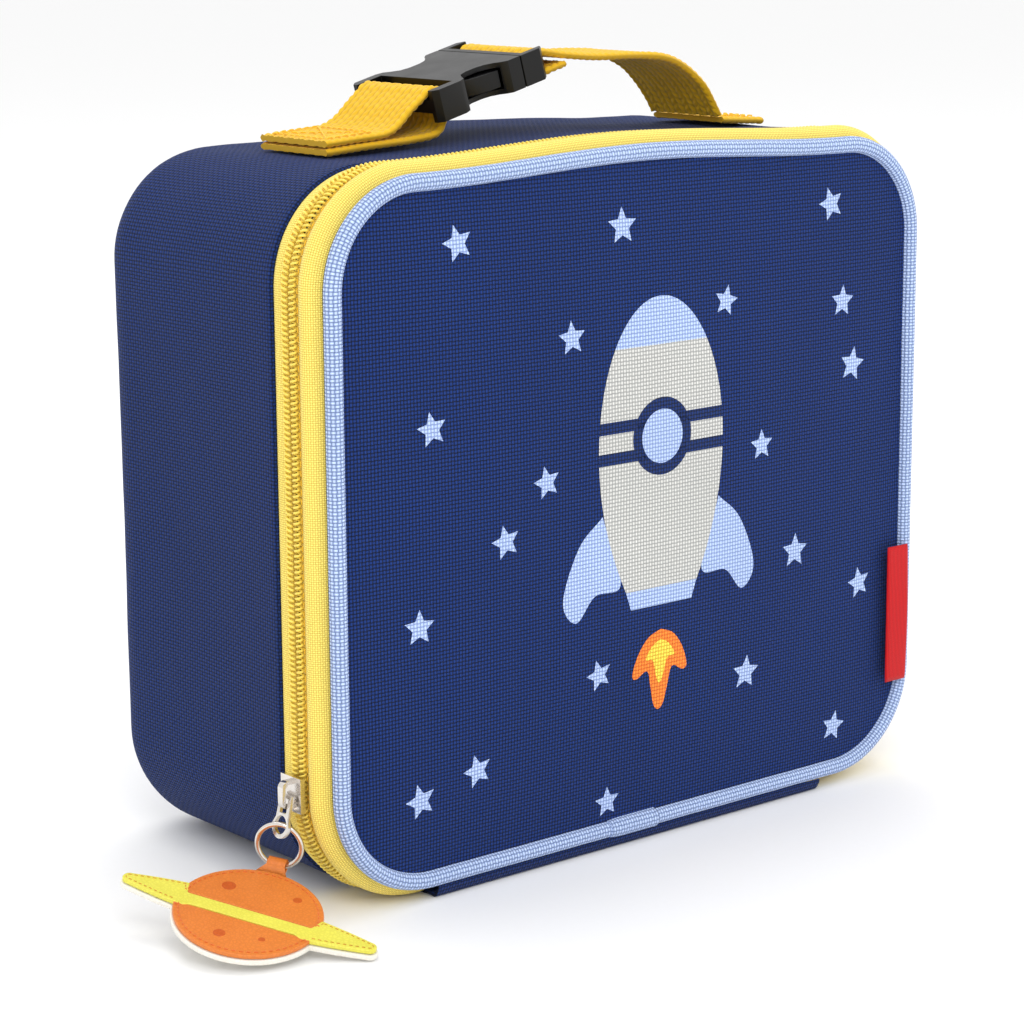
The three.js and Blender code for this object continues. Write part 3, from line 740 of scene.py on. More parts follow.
# %% Case shell
def shell_profile():
    """Insets and depths from the folded front edge to the seam on the back."""
    fold = [(2.3, FABRIC_Y + 2.4), (2.1, FABRIC_Y + 1.0), (1.4, FABRIC_Y + 0.25)]
    fold += [(0.6, FABRIC_Y), (0.1, FABRIC_Y + 0.5)]
    edge_y = BACK_Y - BACK_ROUNDING
    flat = [(0.0, y) for y in np.linspace(FABRIC_Y + 1.6, edge_y, 26)]
    round_edge = round_line(BACK_ROUNDING, edge_y, BACK_ROUNDING, 174, 90, 15)
    tuck = [(BACK_ROUNDING + 1.0, BACK_Y - 0.05), (BACK_ROUNDING + 1.8, BACK_Y - 0.9)]
    tuck += [(BACK_ROUNDING + 1.9, BACK_Y - 2)]
    return np.array(fold + flat + round_edge + tuck).T


def pull_in(x, y, z):
    """How far the cloth sinks between its corners, in millimetres."""
    depth = np.clip((y - FABRIC_Y) / (BACK_Y - FABRIC_Y), 0, 1)
    between = np.sin(np.pi * depth) ** 1.2
    side = np.exp(-(((z - HEIGHT * 0.47) / 62) ** 2)) * (np.abs(x) > WIDTH / 2 - 20)
    top = np.exp(-((x / 60) ** 2)) * (z > HEIGHT - 12)
    return between * (1.7 * side + 0.5 * top)


def case_shell():
    inset, y = shell_profile()
    s = np.linspace(0, RIM_LENGTH, RIM_COUNT, endpoint=False)
    places = rim_places(s[:, None], inset[None], y[None])
    inward = -rim_normal(s)[:, None]
    free = np.clip(np.minimum(y - FABRIC_Y - 2, BACK_Y - y) / 12, 0, 1)[None]
    sink = pull_in(places[..., 0], places[..., 1], places[..., 2])
    wrinkle = (ripple(places * [1, 0.35, 1], 34, 1) * 0.5 + ripple(places, 15, 2) * 0.22 + 0.45) * free
    raised = np.clip(places[..., 2] / 12, 0, 1)
    places = places + inward * ((sink + wrinkle * 0.9) * raised)[..., None]
    return strip("case_shell", places, navy_side_shaded, loop_u=True, out=False)


def disc_grid(n, inset):
    """A square grid pulled out to the rim's shape: x, z and how far out each point is, 0 to 1."""
    foot, shoulder = WIDTH / 2 - BASE_RADIUS * CORNER_SHARE, HEIGHT - TOP_RADIUS * CORNER_SHARE
    low_left, high_left = s_where(x=-foot), s_where(z=shoulder)
    low_right, high_right = s_where(x=foot, left=False), s_where(z=shoulder, left=False)
    i, j = np.meshgrid(np.arange(-n, n + 1), np.arange(-n, n + 1), indexing="ij")
    ring = np.maximum(np.abs(i), np.abs(j))
    span = np.maximum(ring, 1)
    along_i, along_j = (i + span) / (2 * span), (j + span) / (2 * span)
    s = np.where(j == -ring, low_left + along_i * (low_right - RIM_LENGTH - low_left), 0.0)
    s = np.where(j == ring, high_left + along_i * (high_right - high_left), s)
    s = np.where((i == -ring) & (np.abs(j) < ring), low_left + along_j * (high_left - low_left), s)
    s = np.where((i == ring) & (np.abs(j) < ring), low_right + along_j * (high_right - low_right), s)
    edge = rim_places(s, inset, 0.0)
    middle = HEIGHT / 2
    out = ring / n
    return edge[..., 0] * out, middle + (edge[..., 2] - middle) * out, out


def panel(name, n, inset, depth_of, material, front):
    """A padded panel inside the rim: depth_of gives y from x, z and how far out the point is."""
    x, z, out = disc_grid(n, inset)
    y = depth_of(x, z, out)
    places = np.stack([x, y, z + lift_at(y, z)], -1)
    piece = strip(name, places, material, out=not front)
    loops = np.empty(len(piece.data.loops), np.int32)
    piece.data.loops.foreach_get("vertex_index", loops)
    flat = np.stack([x.ravel(), z.ravel()], -1)[loops].astype(np.float32)
    piece.data.uv_layers["cloth"].data.foreach_set("uv", flat.ravel())
    return face_towards(piece, (0, -1 if front else 1, 0))


def from_middle(centres):
    """Away from the line down the middle of the bag, front to back."""
    return (centres - [0, 0, HEIGHT / 2 * MM]) * [1, 0, 1]


def back_depth(x, z, out):
    """The back bows out, with a shallow hollow in its middle."""
    hollow = np.exp(-((x / 70) ** 2) - (((z - 100) / 60) ** 2))
    return BACK_Y - 1.4 + 1.6 * (1 - out**8) - 1.2 * hollow


shell = settle(face_towards(case_shell(), from_middle), "case", "navy_fabric", "gusset_fabric")
back = panel("back_panel_cloth", 26, BACK_ROUNDING + 0.9, back_depth, navy, front=False)
settle(back, "case", "navy_fabric", "back_panel")
print("case shell:", len(shell.data.polygons), "faces")

# %% [markdown]
# ## Foam and lining
# Inside, a wipe-clean silver film on cloth covers the foam. The film is stiff, so it creases softly and
# never lies flat. The foam itself is closed in by the two cloths. A folded strip binds the raw edge of
# each side.

# %% Lining and bindings
def rounded_section(inset0, inset1, y0, y1, radius, steps=4):
    """A rectangle with round corners, as insets and depths."""
    corners = ((inset1 - radius, y1 - radius), (inset0 + radius, y1 - radius))
    corners += ((inset0 + radius, y0 + radius), (inset1 - radius, y0 + radius))
    section = []
    for k, (inset, y) in enumerate(corners):
        section += round_line(inset, y, radius, 90 * k, 90 * k + 90, steps + 1)
    return section


def along_rim(name, profile, material, ends=None, count=RIM_COUNT, closed=False, wrinkle=0.0):
    """A profile of insets and depths carried round the rim, or along it between two arc lengths."""
    inset, y = np.array(profile, float).T
    s = np.linspace(0, RIM_LENGTH, count, endpoint=False) if ends is None else np.linspace(*ends, count)
    places = rim_places(s[:, None], inset[None], y[None])
    if wrinkle:
        places = places + rim_normal(s)[:, None] * (ripple(places, 13, 5) * wrinkle)[..., None]
    piece = strip(name, places, material, ends is None, closed)
    if closed:
        return turn_out(piece) if ends is None else close_ends(piece, count, len(profile))
    return piece


def creased(y, bulge, power, crease, seed):
    """The depth of a lining, which bulges away from its edge and creases softly."""

    def depth(x, z, out):
        return y - bulge * (1 - out**power) + crease * ripple(np.stack([x, x * 0, z], -1), 26, seed)

    return depth


LINER_INSET = box_mm("gusset_liner")[0][0] + WIDTH / 2
lining_profile = [(LINER_INSET + 0.1, -26), (LINER_INSET + 0.8, -26.2)]
lining_profile += [(LINER_INSET + 0.9, y) for y in np.linspace(-24, 42, 34)]
lining_profile += [(LINER_INSET + 1.4, 44.6), (LINER_INSET + 2.4, 45.7), (LINER_INSET + 3.4, 46.2)]
lining = along_rim("case_lining", lining_profile, silver_lining, wrinkle=0.5)
settle(lining, "case", "silver_liner", "gusset_liner")
back_lining = panel(
    "back_lining", 24, LINER_INSET + 3.0, creased(46.5, 0.25, 6, 0.25, 9), silver_lining, front=True
)
settle(back_lining, "case", "silver_liner", "back_liner")

EDGE_SECTIONS = {
    "case": rounded_section(2.4, 7.5, -32.0, -26.3, 2.2),
    "lid": rounded_section(2.1, 6.1, -53.3, -50.0, 1.5),
}
for body, section in EDGE_SECTIONS.items():
    edge = along_rim(f"{body}_edge_binding", section, navy, closed=True)
    settle(edge, body, "navy_fabric", f"{body}_binding")


def foam_material():
    p = Paint("closed_cell_foam")
    cells = p.cloud(0.8, 2)
    return p.finish(
        Base_Color=p.shade(colour("#ecece6"), cells * 0.12 + 0.92),
        Roughness=(cells * 0.1 + 0.82).clamp(),
        Normal=p.bump(cells, 0.12),
    )


closed_cell_foam = foam_material()


foam = along_rim("case_foam", rounded_section(3.6, 6.4, -26, 45.6, 1.2), closed_cell_foam, closed=True)
settle(foam, "case", "foam", "gusset_foam")


def pad(name, inset, depth_of, thickness, body, node):
    """A foam pad: a panel with thickness."""
    piece = panel(name, 16, inset, depth_of, closed_cell_foam, front=body == "lid")
    piece.modifiers.new("thickness", "SOLIDIFY").thickness = thickness * MM
    return settle(piece, body, "foam", node)


pad("back_foam_pad", 12.5, lambda x, z, out: 50.0 + 0 * out, 2.4, "case", "back_foam")
pad("lid_foam_pad", 8.0, lambda x, z, out: -55.6 - 1.2 * (1 - out**4), 3.0, "lid", "front_foam")
lid_lining = panel("lid_lining", 24, 5.4, creased(-50.9, 0.9, 5, 0.3, 12), silver_lining, front=False)
settle(lid_lining, "lid", "silver_liner", "front_liner")
face_towards(lining, lambda centres: -from_middle(centres))
print("lining and bindings done")

# %% [markdown]
# ## The zip
# Each tape is woven, with a thick edge, and each row of teeth is a nylon coil: one long wire wound into
# loops and sewn to the tape. The two coils mesh because one is shifted by half a loop. The coils stop low
# on the base corners, where metal stops hold them.

# %% Zip tapes and coils
TAPE_START, TAPE_END = -FLAP_LEFT, RIM_LENGTH - FLAP_RIGHT
COIL_START, COIL_END = TAPE_START + 13, TAPE_END - 18
COIL_PITCH, COIL_OFFSET, COIL_INSET = 1.5, 1.75, -0.05
COIL_LOOPS = int((COIL_END - COIL_START) / COIL_PITCH)
TAPE_THICK = 0.5
# The tapes' sections, as insets from the rim and depths.
CASE_TAPE = [(2.6, -32.8), (1.7, -33.4), (1.0, -34.2), (0.6, -35.4)]
CASE_TAPE += [(0.5, -37.0), (0.7, -38.6), (1.1, -39.6), (1.2, -41.8)]
LID_TAPE = [(1.2, -43.0), (1.2, -45.0), (0.5, -46.2), (-0.7, -47.9)]
LID_TAPE += [(-1.7, -49.8), (-1.6, -51.6), (-0.2, -53.2), (2.4, -54.2)]


def thick(profile, by):
    """A section with both faces, from a line of insets and depths."""
    line = smooth_line(profile, 0.45, 2)
    return np.vstack([line, line[::-1] + [by, 0.0]])


for body, section in (("case", CASE_TAPE), ("lid", LID_TAPE)):
    profile = thick(section, TAPE_THICK)
    tape = along_rim(f"zip_tape_{body}_cloth", profile, tape_weave, (TAPE_START, TAPE_END), 500, True)
    settle(tape, body, "zip_tape", f"zip_tape_{body}")


def coil(name, middle_y, phase, turn, per_loop=10):
    """A wire wound in loops along the rim. phase shifts it, in loops, and turn is 1 or -1."""
    t = np.arange(COIL_LOOPS * per_loop) / per_loop
    s = COIL_START + (t + phase) * COIL_PITCH
    angle = 2 * np.pi * t * turn
    path = rim_places(s, COIL_INSET - 0.62 * np.cos(angle), middle_y + 1.05 * np.sin(angle))
    centre = rim_places(s, COIL_INSET, middle_y)
    return tube(name, path, 0.36, 6, coil_nylon, unit(path - centre))


settle(coil("zip_coil_case_loops", ZIP_Y + COIL_OFFSET, 0.0, 1), "case", "zip_coil", "zip_coil_case")
settle(coil("zip_coil_lid_loops", ZIP_Y - COIL_OFFSET, 0.5, -1), "lid", "zip_coil", "zip_coil_lid")

s = np.arange(COIL_START, COIL_END, 1.0)
for body, seam_y, inset in (("case", -38.9, 0.45), ("lid", -46.0, 0.35)):
    path = rim_places(s, inset, seam_y)
    seam = stitches(f"zip_{body}_stitching", path, rim_normal(s), thread_yellow, 2.6, 2.0, 0.16)
    settle(seam, body, "zip_tape")
print("coil loops:", COIL_LOOPS, "in each row")

# %% [markdown]
# ## Piping
# A cord wrapped in light blue ribbed tape stands up all round the lid. Its two ends meet at the middle of
# the base, where one is folded over the other.

# %% Piping and its cord
def piping_path(start, end, step=0.9):
    s = np.arange(start, end, step)
    return s, rim_places(s, PIPING_INSET, PIPING_Y)


s, path = piping_path(0, RIM_LENGTH - 0.5)
uneven = 1 + 0.018 * ripple(path, 8, 3)
piping = tube("piping_cloth", path, (PIPING_RADIUS - 0.12) * uneven, 22, grosgrain, (0, 1, 0), closed=True)
settle(piping, "lid", "piping_fabric", "piping_cover")
LAP_END = RIM_LENGTH + 15
s, path = piping_path(RIM_LENGTH - 4, LAP_END, 0.5)
ease = np.clip((LAP_END - s) / 5, 0, 1)
lap = tube("piping_overlap", path, PIPING_RADIUS - 0.1 + 0.5 * ease**0.5, 22, grosgrain, (0, 1, 0))
settle(lap, "lid", "piping_fabric")
s, path = piping_path(0, RIM_LENGTH - 0.5, 1.2)
cord = tube("piping_filler_cord", path, 1.6 + 0.12 * np.sin(s * 2.1), 10, cream_weave, (0, 1, 0), closed=True)
settle(cord, "lid", "piping_filler", "piping_cord")
print("piping done")

# %% [markdown]
# ## The padded front
# The front of the lid is cloth over thin foam. It is sewn all round and pushed out from behind, so the
# cloth solver can find its shape: the border is pinned, and a gentle pressure fills it. The movement is
# then capped, so that it stays inside the CAD size. Puckers along the seam come from the stitches that
# pull it in.

# %% Front panel
PANEL_INSET = PIPING_INSET + PIPING_RADIUS - 1.0
PANEL_Y, PANEL_DEPTH, MOST_MOVE = -57.2, 2.2, 1.0
PINNED_FROM, CLOTH_FRAMES = 0.985, 20


def front_depth(x, z, out):
    return PANEL_Y - PANEL_DEPTH * (1 - np.clip(out, 0, 1) ** 3.2)


def blow_up(piece, pinned):
    """Lets the cloth solver fill the piece, and keeps the result within MOST_MOVE of where it began."""
    before = np.array([v.co for v in piece.data.vertices])
    group = piece.vertex_groups.new(name="pinned")
    group.add([int(i) for i in np.nonzero(pinned)[0]], 1.0, "REPLACE")
    cloth = piece.modifiers.new("cloth", "CLOTH")
    cloth.settings.quality = 6
    cloth.settings.vertex_group_mass = "pinned"
    cloth.settings.use_pressure = True
    cloth.settings.uniform_pressure_force = 4
    cloth.settings.tension_stiffness = 30
    cloth.settings.effector_weights.gravity = 0
    cloth.collision_settings.use_collision = False
    scene = bpy.context.scene
    cloth.point_cache.frame_start, cloth.point_cache.frame_end = 1, CLOTH_FRAMES
    for number in range(1, CLOTH_FRAMES + 1):
        scene.frame_set(number)
    solved = piece.evaluated_get(bpy.context.evaluated_depsgraph_get())
    after = np.array([v.co for v in solved.data.vertices])
    piece.modifiers.remove(cloth)
    scene.frame_set(1)
    move = after - before
    size = np.linalg.norm(move, axis=1, keepdims=True)
    most = MOST_MOVE * MM
    move *= most * np.tanh(size / most) / np.maximum(size, 1e-9)
    piece.data.vertices.foreach_set("co", (before + move).astype(np.float32).ravel())
    piece.data.update()
    print(f"cloth moved up to {size.max() / MM:.1f} mm, kept to {MOST_MOVE} mm")


HALF_GRID = 32
front = panel("front_panel_cloth", HALF_GRID, PANEL_INSET, front_depth, navy, front=True)
grid_out = disc_grid(HALF_GRID, PANEL_INSET)[2].ravel()
blow_up(front, grid_out > PINNED_FROM)
points = np.array([v.co for v in front.data.vertices]) / MM
angle = np.arctan2(points[:, 2] - HEIGHT / 2, points[:, 0])
pucker = 0.22 * np.sin(angle * 84) * np.exp(-(((grid_out - 0.955) / 0.03) ** 2))
slack = 0.45 * ripple(points * [1, 0, 1], 42, 11) * (1 - grid_out**4)
points[:, 1] += pucker + slack
front.data.vertices.foreach_set("co", (points * MM).astype(np.float32).ravel())
smoother = front.modifiers.new("smoother", "SUBSURF")
smoother.levels = smoother.render_levels = 1
solved = front.evaluated_get(bpy.context.evaluated_depsgraph_get())
fine = bpy.data.meshes.new_from_object(solved)
front.modifiers.remove(smoother)
front.data = fine
front.data.shade_smooth()
settle(front, "lid", "printed_fabric", "front_panel")
print("front panel:", len(front.data.polygons), "faces")

# %% [markdown]
# ## The print
# The rocket and stars are screen-printed: flat colours that lie on the threads. Each colour is a thin
# shape cut from triangles and laid on the front panel by casting rays at it, and it has the same weave as
# the cloth below it.

# %% Prints
front_places = [v.co for v in front.data.vertices]
front_tree = BVHTree.FromPolygons(front_places, [face.vertices for face in front.data.polygons])


def inside(points, outline):
    """Which points are inside a closed outline, by counting the edges to their right."""
    a, b = outline, np.roll(outline, -1, 0)
    px, pz = points[:, :1], points[:, 1:]
    spans = (a[:, 1] > pz) != (b[:, 1] > pz)
    rise = np.where(b[:, 1] == a[:, 1], 1e-9, b[:, 1] - a[:, 1])
    cross = a[:, 0] + (pz - a[:, 1]) / rise * (b[:, 0] - a[:, 0])
    return (spans & (px < cross)).sum(1) % 2 == 1


def laid(outline, above, spacing=1.6):
    """Places and triangles of one printed shape, lying a little above the front panel."""
    outline = np.array(outline, float)
    rim = []
    for a, b in zip(outline, np.roll(outline, -1, 0)):
        steps = max(2, int(math.dist(a, b) / spacing) + 1)
        rim += [a + (b - a) * t for t in np.linspace(0, 1, steps)[:-1]]
    rim = np.array(rim)
    low, high = rim.min(0), rim.max(0)
    x, z = np.meshgrid(np.arange(low[0], high[0], spacing), np.arange(low[1], high[1], spacing))
    fill = np.c_[x.ravel(), z.ravel()]
    fill = fill[inside(fill, rim)]
    near = np.linalg.norm(fill[:, None] - rim[None], axis=2).min(1) if len(fill) else np.zeros(0)
    flat = np.vstack([rim, fill[near > spacing * 0.45]])
    found = delaunay_2d_cdt([Vector(p) for p in flat], [], [list(range(len(rim)))], 1, 1e-5)
    places = []
    for p in found[0]:
        hit = front_tree.ray_cast(Vector((p.x * MM, -0.09, p.y * MM)), Vector((0, 1, 0)))[0]
        places.append((p.x, (hit.y / MM if hit else PANEL_Y) - above, p.y))
    return places, [list(f) for f in found[2]]


def printed(name, outlines, material, above):
    places, faces = [], []
    for outline in outlines:
        more, shape = laid(outline, above)
        faces += [[i + len(places) for i in face] for face in shape]
        places += more
    mesh = mesh_of(name, places, faces)
    flat = np.array(places)[:, [0, 2]]
    loops = np.array([i for p in mesh.polygons for i in p.vertices])
    mesh.uv_layers.new(name="cloth").data.foreach_set("uv", flat[loops].astype(np.float32).ravel())
    mesh.update()
    if mesh.polygons[0].normal.y > 0:
        mesh.flip_normals()
    return settle(as_piece(name, mesh, material), "lid", "printed_fabric")


def star(x, z, size, tilt):
    """Ten corners, by turns at the points and in the notches."""
    corners = []
    for k in range(10):
        reach = size * (STAR_NOTCH if k % 2 else 1)
        turn = math.radians(90 + tilt + 36 * k)
        corners.append((x + reach * math.cos(turn), z + reach * math.sin(turn)))
    return corners


def disc(x, z, radius):
    return round_line(x, z, radius, 0, 360, 36, last=False)


STAR_NOTCH = 0.47
ROCKET_X = 4.0
HULL_TOP, HULL_WIDEST, HULL_FOOT, HULL_HALF, FOOT_HALF = 164.0, 120.0, 78.0, 24.5, 14.0
NOSE_LINE, SKIRT_FOOT, BELT, WINDOW_Z = 150.0, 72.5, 3.5, 123.0
BELT_SHIFT = 4.5


def hull_half(z):
    """Half the rocket's width at a height: an ellipse above its widest place, and a taper below."""
    above = HULL_HALF * np.sqrt(np.clip(1 - ((z - HULL_WIDEST) / (HULL_TOP - HULL_WIDEST)) ** 2, 0, 1))
    below = HULL_HALF - (HULL_HALF - FOOT_HALF) * ((HULL_WIDEST - z) / (HULL_WIDEST - HULL_FOOT)) ** 2
    return np.where(z > HULL_WIDEST, above, below)


def both_halves(half):
    """A closed outline from its right half, as places across from the rocket's middle and heights."""
    left = [(-x, z) for x, z in half if x > 1e-6]
    return [(ROCKET_X + x, z) for x, z in [*half, *left[::-1]]]


def hull_band(low, high):
    """The part of the rocket's body between two heights. The steps close up towards the round tip."""
    z = low + (high - low) * np.sin(np.linspace(0, math.pi / 2, 26))
    half = list(zip(hull_half(z), z))
    return both_halves(half)


def mirrored(right):
    return [(2 * ROCKET_X - x, z) for x, z in right]


def soft_outline(corners, step=0.9):
    """A closed outline rounded through its corners."""
    corners = [*corners, corners[0]]
    return [tuple(p) for p in smooth_line(corners, step, 1)[:-1]]


FIN = [(23, 102), (32, 94), (38, 79), (33, 72), (26, 79), (16, 81)]
fin = soft_outline([(ROCKET_X + x, z) for x, z in FIN])
skirt = both_halves([(FOOT_HALF - 2, SKIRT_FOOT), (FOOT_HALF, HULL_FOOT)])
FLAME = [(0, 65), (5, 63), (9, 58), (11, 52), (9, 51), (5, 53), (3.5, 48), (2, 42), (0, 40)]
GLOW = [(0, 62), (3.5, 60), (6, 56), (3, 56), (1.5, 51), (0, 48)]

# Rows of stars, listed on a 5 mm grid: a height, and places across.
STAR_ROWS = {
    185: (-70, -10, 75), 160: (30,), 155: (-30, 80), 135: (-80, 85), 115: (-40, 45), 100: (-55,),
    80: (-85, 60), 65: (90,), 55: (-20,), 45: (40,), 35: (-65,), 30: (-85,), 20: (80,), 15: (-15,),
}
star_places = [(x, z) for z, row in STAR_ROWS.items() for x in row]
random = np.random.default_rng(4)
tilts, sizes = random.uniform(-16, 16, len(star_places)), random.uniform(4.6, 5.6, len(star_places))
stars = [star(x, z, size, tilt) for (x, z), size, tilt in zip(star_places, sizes, tilts)]
printed("print_stars", stars, print_blue, 0.06)
printed("print_flame", [soft_outline(both_halves(FLAME))], print_orange, 0.06)
printed("print_flame_middle", [soft_outline(both_halves(GLOW))], print_yellow, 0.10)
printed("print_rocket_blue", [hull_band(NOSE_LINE, HULL_TOP), fin, mirrored(fin), skirt], print_blue, 0.06)
printed("print_rocket_hull", [hull_band(HULL_FOOT, NOSE_LINE)], print_grey, 0.07)
BELT_MIDDLES = (WINDOW_Z + BELT_SHIFT, WINDOW_Z - BELT_SHIFT)
belts = [hull_band(middle - BELT / 2, middle + BELT / 2) for middle in BELT_MIDDLES]
printed("print_rocket_belts", [*belts, disc(ROCKET_X, WINDOW_Z, 11.5)], print_navy, 0.11)
printed("print_rocket_window", [disc(ROCKET_X, WINDOW_Z, 8.0)], print_blue, 0.15)
print("stars:", len(star_places))

# %% [markdown]
# ## Labels, the net pocket and the hinge
# A folded red tag with nothing written on it is caught in the side seam, and a cotton name tape is sewn
# inside. The net pocket on the lid is gathered into its binding. The hinge is a strip of the same navy
# cloth between the case and the lid.

# %% Labels, pocket and hinge
def slab(name, x0, x1, y0, y1, z0, z1, material, bulge=0.0, count=14):
    """A thin folded cloth, rounded at its edges, that swells a little in the middle."""
    half, sides = (y1 - y0) / 2, 48
    t = np.linspace(0, 2 * np.pi, sides, endpoint=False)
    cx, cy = (x0 + x1) / 2, (y0 + y1) / 2
    wide = np.sign(np.cos(t)) * np.abs(np.cos(t)) ** 0.25
    thin = np.sign(np.sin(t)) * np.abs(np.sin(t)) ** 0.6
    z = np.linspace(z0, z1, count)
    end = np.clip(np.minimum(z - z0, z1 - z) / 0.5, 0.35, 1)
    x = cx + (x1 - x0) / 2 * wide[None] * np.ones_like(z)[:, None]
    y = cy + half * thin[None] * end[:, None]
    y = y - bulge * np.sin(np.pi * (z - z0) / (z1 - z0))[:, None] * np.clip((x - x0) / (x1 - x0), 0, 1)
    places = np.stack([x, y, np.broadcast_to(z[:, None], x.shape)], -1)
    return close_ends(strip(name, places, material, False, True), count, sides)


TAG_SHIFT = 2.6  # the tag lies on the panel, just inside the piping
tag_low, tag_high = box_mm("side_label")
tag_x, tag_y, tag_z = zip(tag_low - [TAG_SHIFT, 0, 0], tag_high - [TAG_SHIFT, 0, 0])
tag = slab("side_tag", *tag_x, *tag_y, *tag_z, red_weave, 0.5, 30)
settle(tag, "lid", "red_label", "side_label")
name_tape = slab("name_tape", *[v for pair in zip(*box_mm("name_label")) for v in pair], cream_weave)
settle(name_tape, "case", "cream_label", "name_label")

pocket_low, pocket_high = box_mm("mesh_pocket")
BINDING_TUCK = 3  # how far the net reaches up inside its binding


def net_pocket():
    x = np.linspace(pocket_low[0], pocket_high[0], 110)
    z = np.linspace(pocket_low[2], pocket_high[2] + BINDING_TUCK, 46)
    u = (x / pocket_high[0])[:, None] + 0 * z
    v = ((z - z[0]) / (z[-1] - z[0]))[None] + 0 * x[:, None]
    side = np.clip((1 - np.abs(u)) / 0.05, 0, 1) * np.clip(v / 0.09, 0, 1)
    gather = 0.5 * np.sin(x * 1.1)[:, None] * v**3 + 0.7 * np.sin(x * 0.23 + 1)[:, None] * v * (1 - v) * 2
    y = pocket_low[1] + (pocket_high[1] - 0.6 - pocket_low[1]) * side**0.6 + gather * side - 0.4
    places = np.stack([x[:, None] + 0 * z, y, z[None] + 0 * x[:, None]], -1)
    return strip("net_pocket", places, pocket_net)


net = settle(face_towards(net_pocket(), (0, 1, 0)), "lid", "mesh_fabric", "mesh_pocket")
binding_low, binding_high = box_mm("pocket_binding")


def pocket_edge():
    x = np.linspace(binding_low[0], binding_high[0], 240)
    t = np.linspace(0, 2 * np.pi, 20, endpoint=False)
    middle = (binding_low + binding_high) / 2
    pucker = 0.14 * np.sin(x * 1.1)
    y = middle[1] + (0.62 * np.sin(t)[None] + pucker[:, None])
    z = middle[2] + 3.3 * np.sign(np.cos(t)) * np.abs(np.cos(t)) ** 0.5 + 0.2 * np.sin(x * 0.3)[:, None]
    places = np.stack([x[:, None] + 0 * y, y, z + 0 * y], -1)
    return close_ends(strip("net_pocket_binding", places, navy, False, True), len(x), len(t))


settle(pocket_edge(), "lid", "navy_fabric", "pocket_binding")


def hinge_strip():
    ends = (-FLAP_LEFT - 0.6, -FLAP_RIGHT + 0.6)
    y = np.linspace(FABRIC_Y + 1.2, -58.4, 52)
    curl = np.clip((-56.2 - y) / 2.2, 0, 1) ** 2 * 3.0
    inset = 0.1 + 0.1 * np.sin(0.9 * y) + curl - 0.97 * lift_at(y, np.zeros_like(y))
    line = np.stack([inset, y], -1)
    section = np.vstack([line, line[::-1] + [0.85, 0.0]])
    return along_rim("hinge_cloth", section, navy_side_shaded, ends, 160, True)


hinge = hinge_strip()
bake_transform(hinge)
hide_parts("hinge_flap")
print("soft trim done")

# %% [markdown]
# ## The handle
# The handle is coarse webbing. Its ribs stand nearly half a millimetre high, so they are real shape:
# columns of slanted loops, each column leaning the other way from the last. The left end is doubled round
# the buckle's bar, the right end comes down to a short anchor on the top, and both sides are held by
# boxes of stitching.

# %% Webbing
strap_low, strap_high = box_mm("strap_left")
STRAP_HALF, STRAP_THICK = (strap_high[1] - strap_low[1]) / 2, 1.8
LOOP_PITCH, RIB_HEIGHT, WEB_POINTS, SEAM_MARGIN = 2.5, 0.46, 76, 3.2


def on_top(x, height):
    """A place that stands a height off the top, which turns down at its corners."""
    reach = WIDTH / 2 - TOP_RADIUS
    if abs(x) <= reach:
        return (x, HEIGHT + CROWN * (1 - (x / reach) ** 2) + height)
    radius = TOP_RADIUS + height
    return (x, HEIGHT - TOP_RADIUS + math.sqrt(radius**2 - (abs(x) - reach) ** 2))


def webbing(name, line, soften=10):
    """Webbing along a line of x and z: a flat section with selvedges, and ribs raised on both faces."""
    line = smooth_line(line, 0.42, soften)
    ahead = unit(np.gradient(line, axis=0))
    normal = np.stack([-ahead[:, 1], ahead[:, 0]], -1)
    u = travelled(line)
    v = np.linspace(-STRAP_HALF, STRAP_HALF, WEB_POINTS)
    v = np.r_[v, v[::-1]]
    side = np.r_[np.ones(WEB_POINTS), -np.ones(WEB_POINTS)]
    column = np.floor((v + STRAP_HALF) / WEB_COLUMN)
    local = (v + STRAP_HALF) / WEB_COLUMN - column
    lean = np.where(column % 2 == 0, local, 1 - local)
    wave = np.abs(np.cos(np.pi * (u[:, None] / LOOP_PITCH + lean[None] * 0.8))) ** 0.7
    rib = wave * (np.abs(np.sin(np.pi * local)) ** 0.5)[None]
    edge = np.clip((STRAP_HALF - np.abs(v)) / 0.9, 0, 1) ** 0.5
    selvedge = 0.16 * np.exp(-(((STRAP_HALF - np.abs(v) - 1.1) / 0.7) ** 2))[None] * (0.6 + 0.4 * wave)
    half = (STRAP_THICK / 2 - 0.34) * (0.35 + 0.65 * edge)[None] + (RIB_HEIGHT * rib + selvedge) * edge[None]
    wander = 0.22 * np.sin(u * 0.35)[:, None] * (np.abs(v) / STRAP_HALF)[None] ** 4 * np.sign(v)[None]
    x = line[:, :1] + normal[:, :1] * half * side
    z = line[:, 1:] + normal[:, 1:] * half * side
    places = np.stack([x, v[None] + wander + 0 * x, z], -1)
    piece = strip(name, places, webbing_yarn, False, True, along=u, across=np.r_[v, v[0]] + STRAP_HALF)
    return close_ends(piece, len(line), len(v))


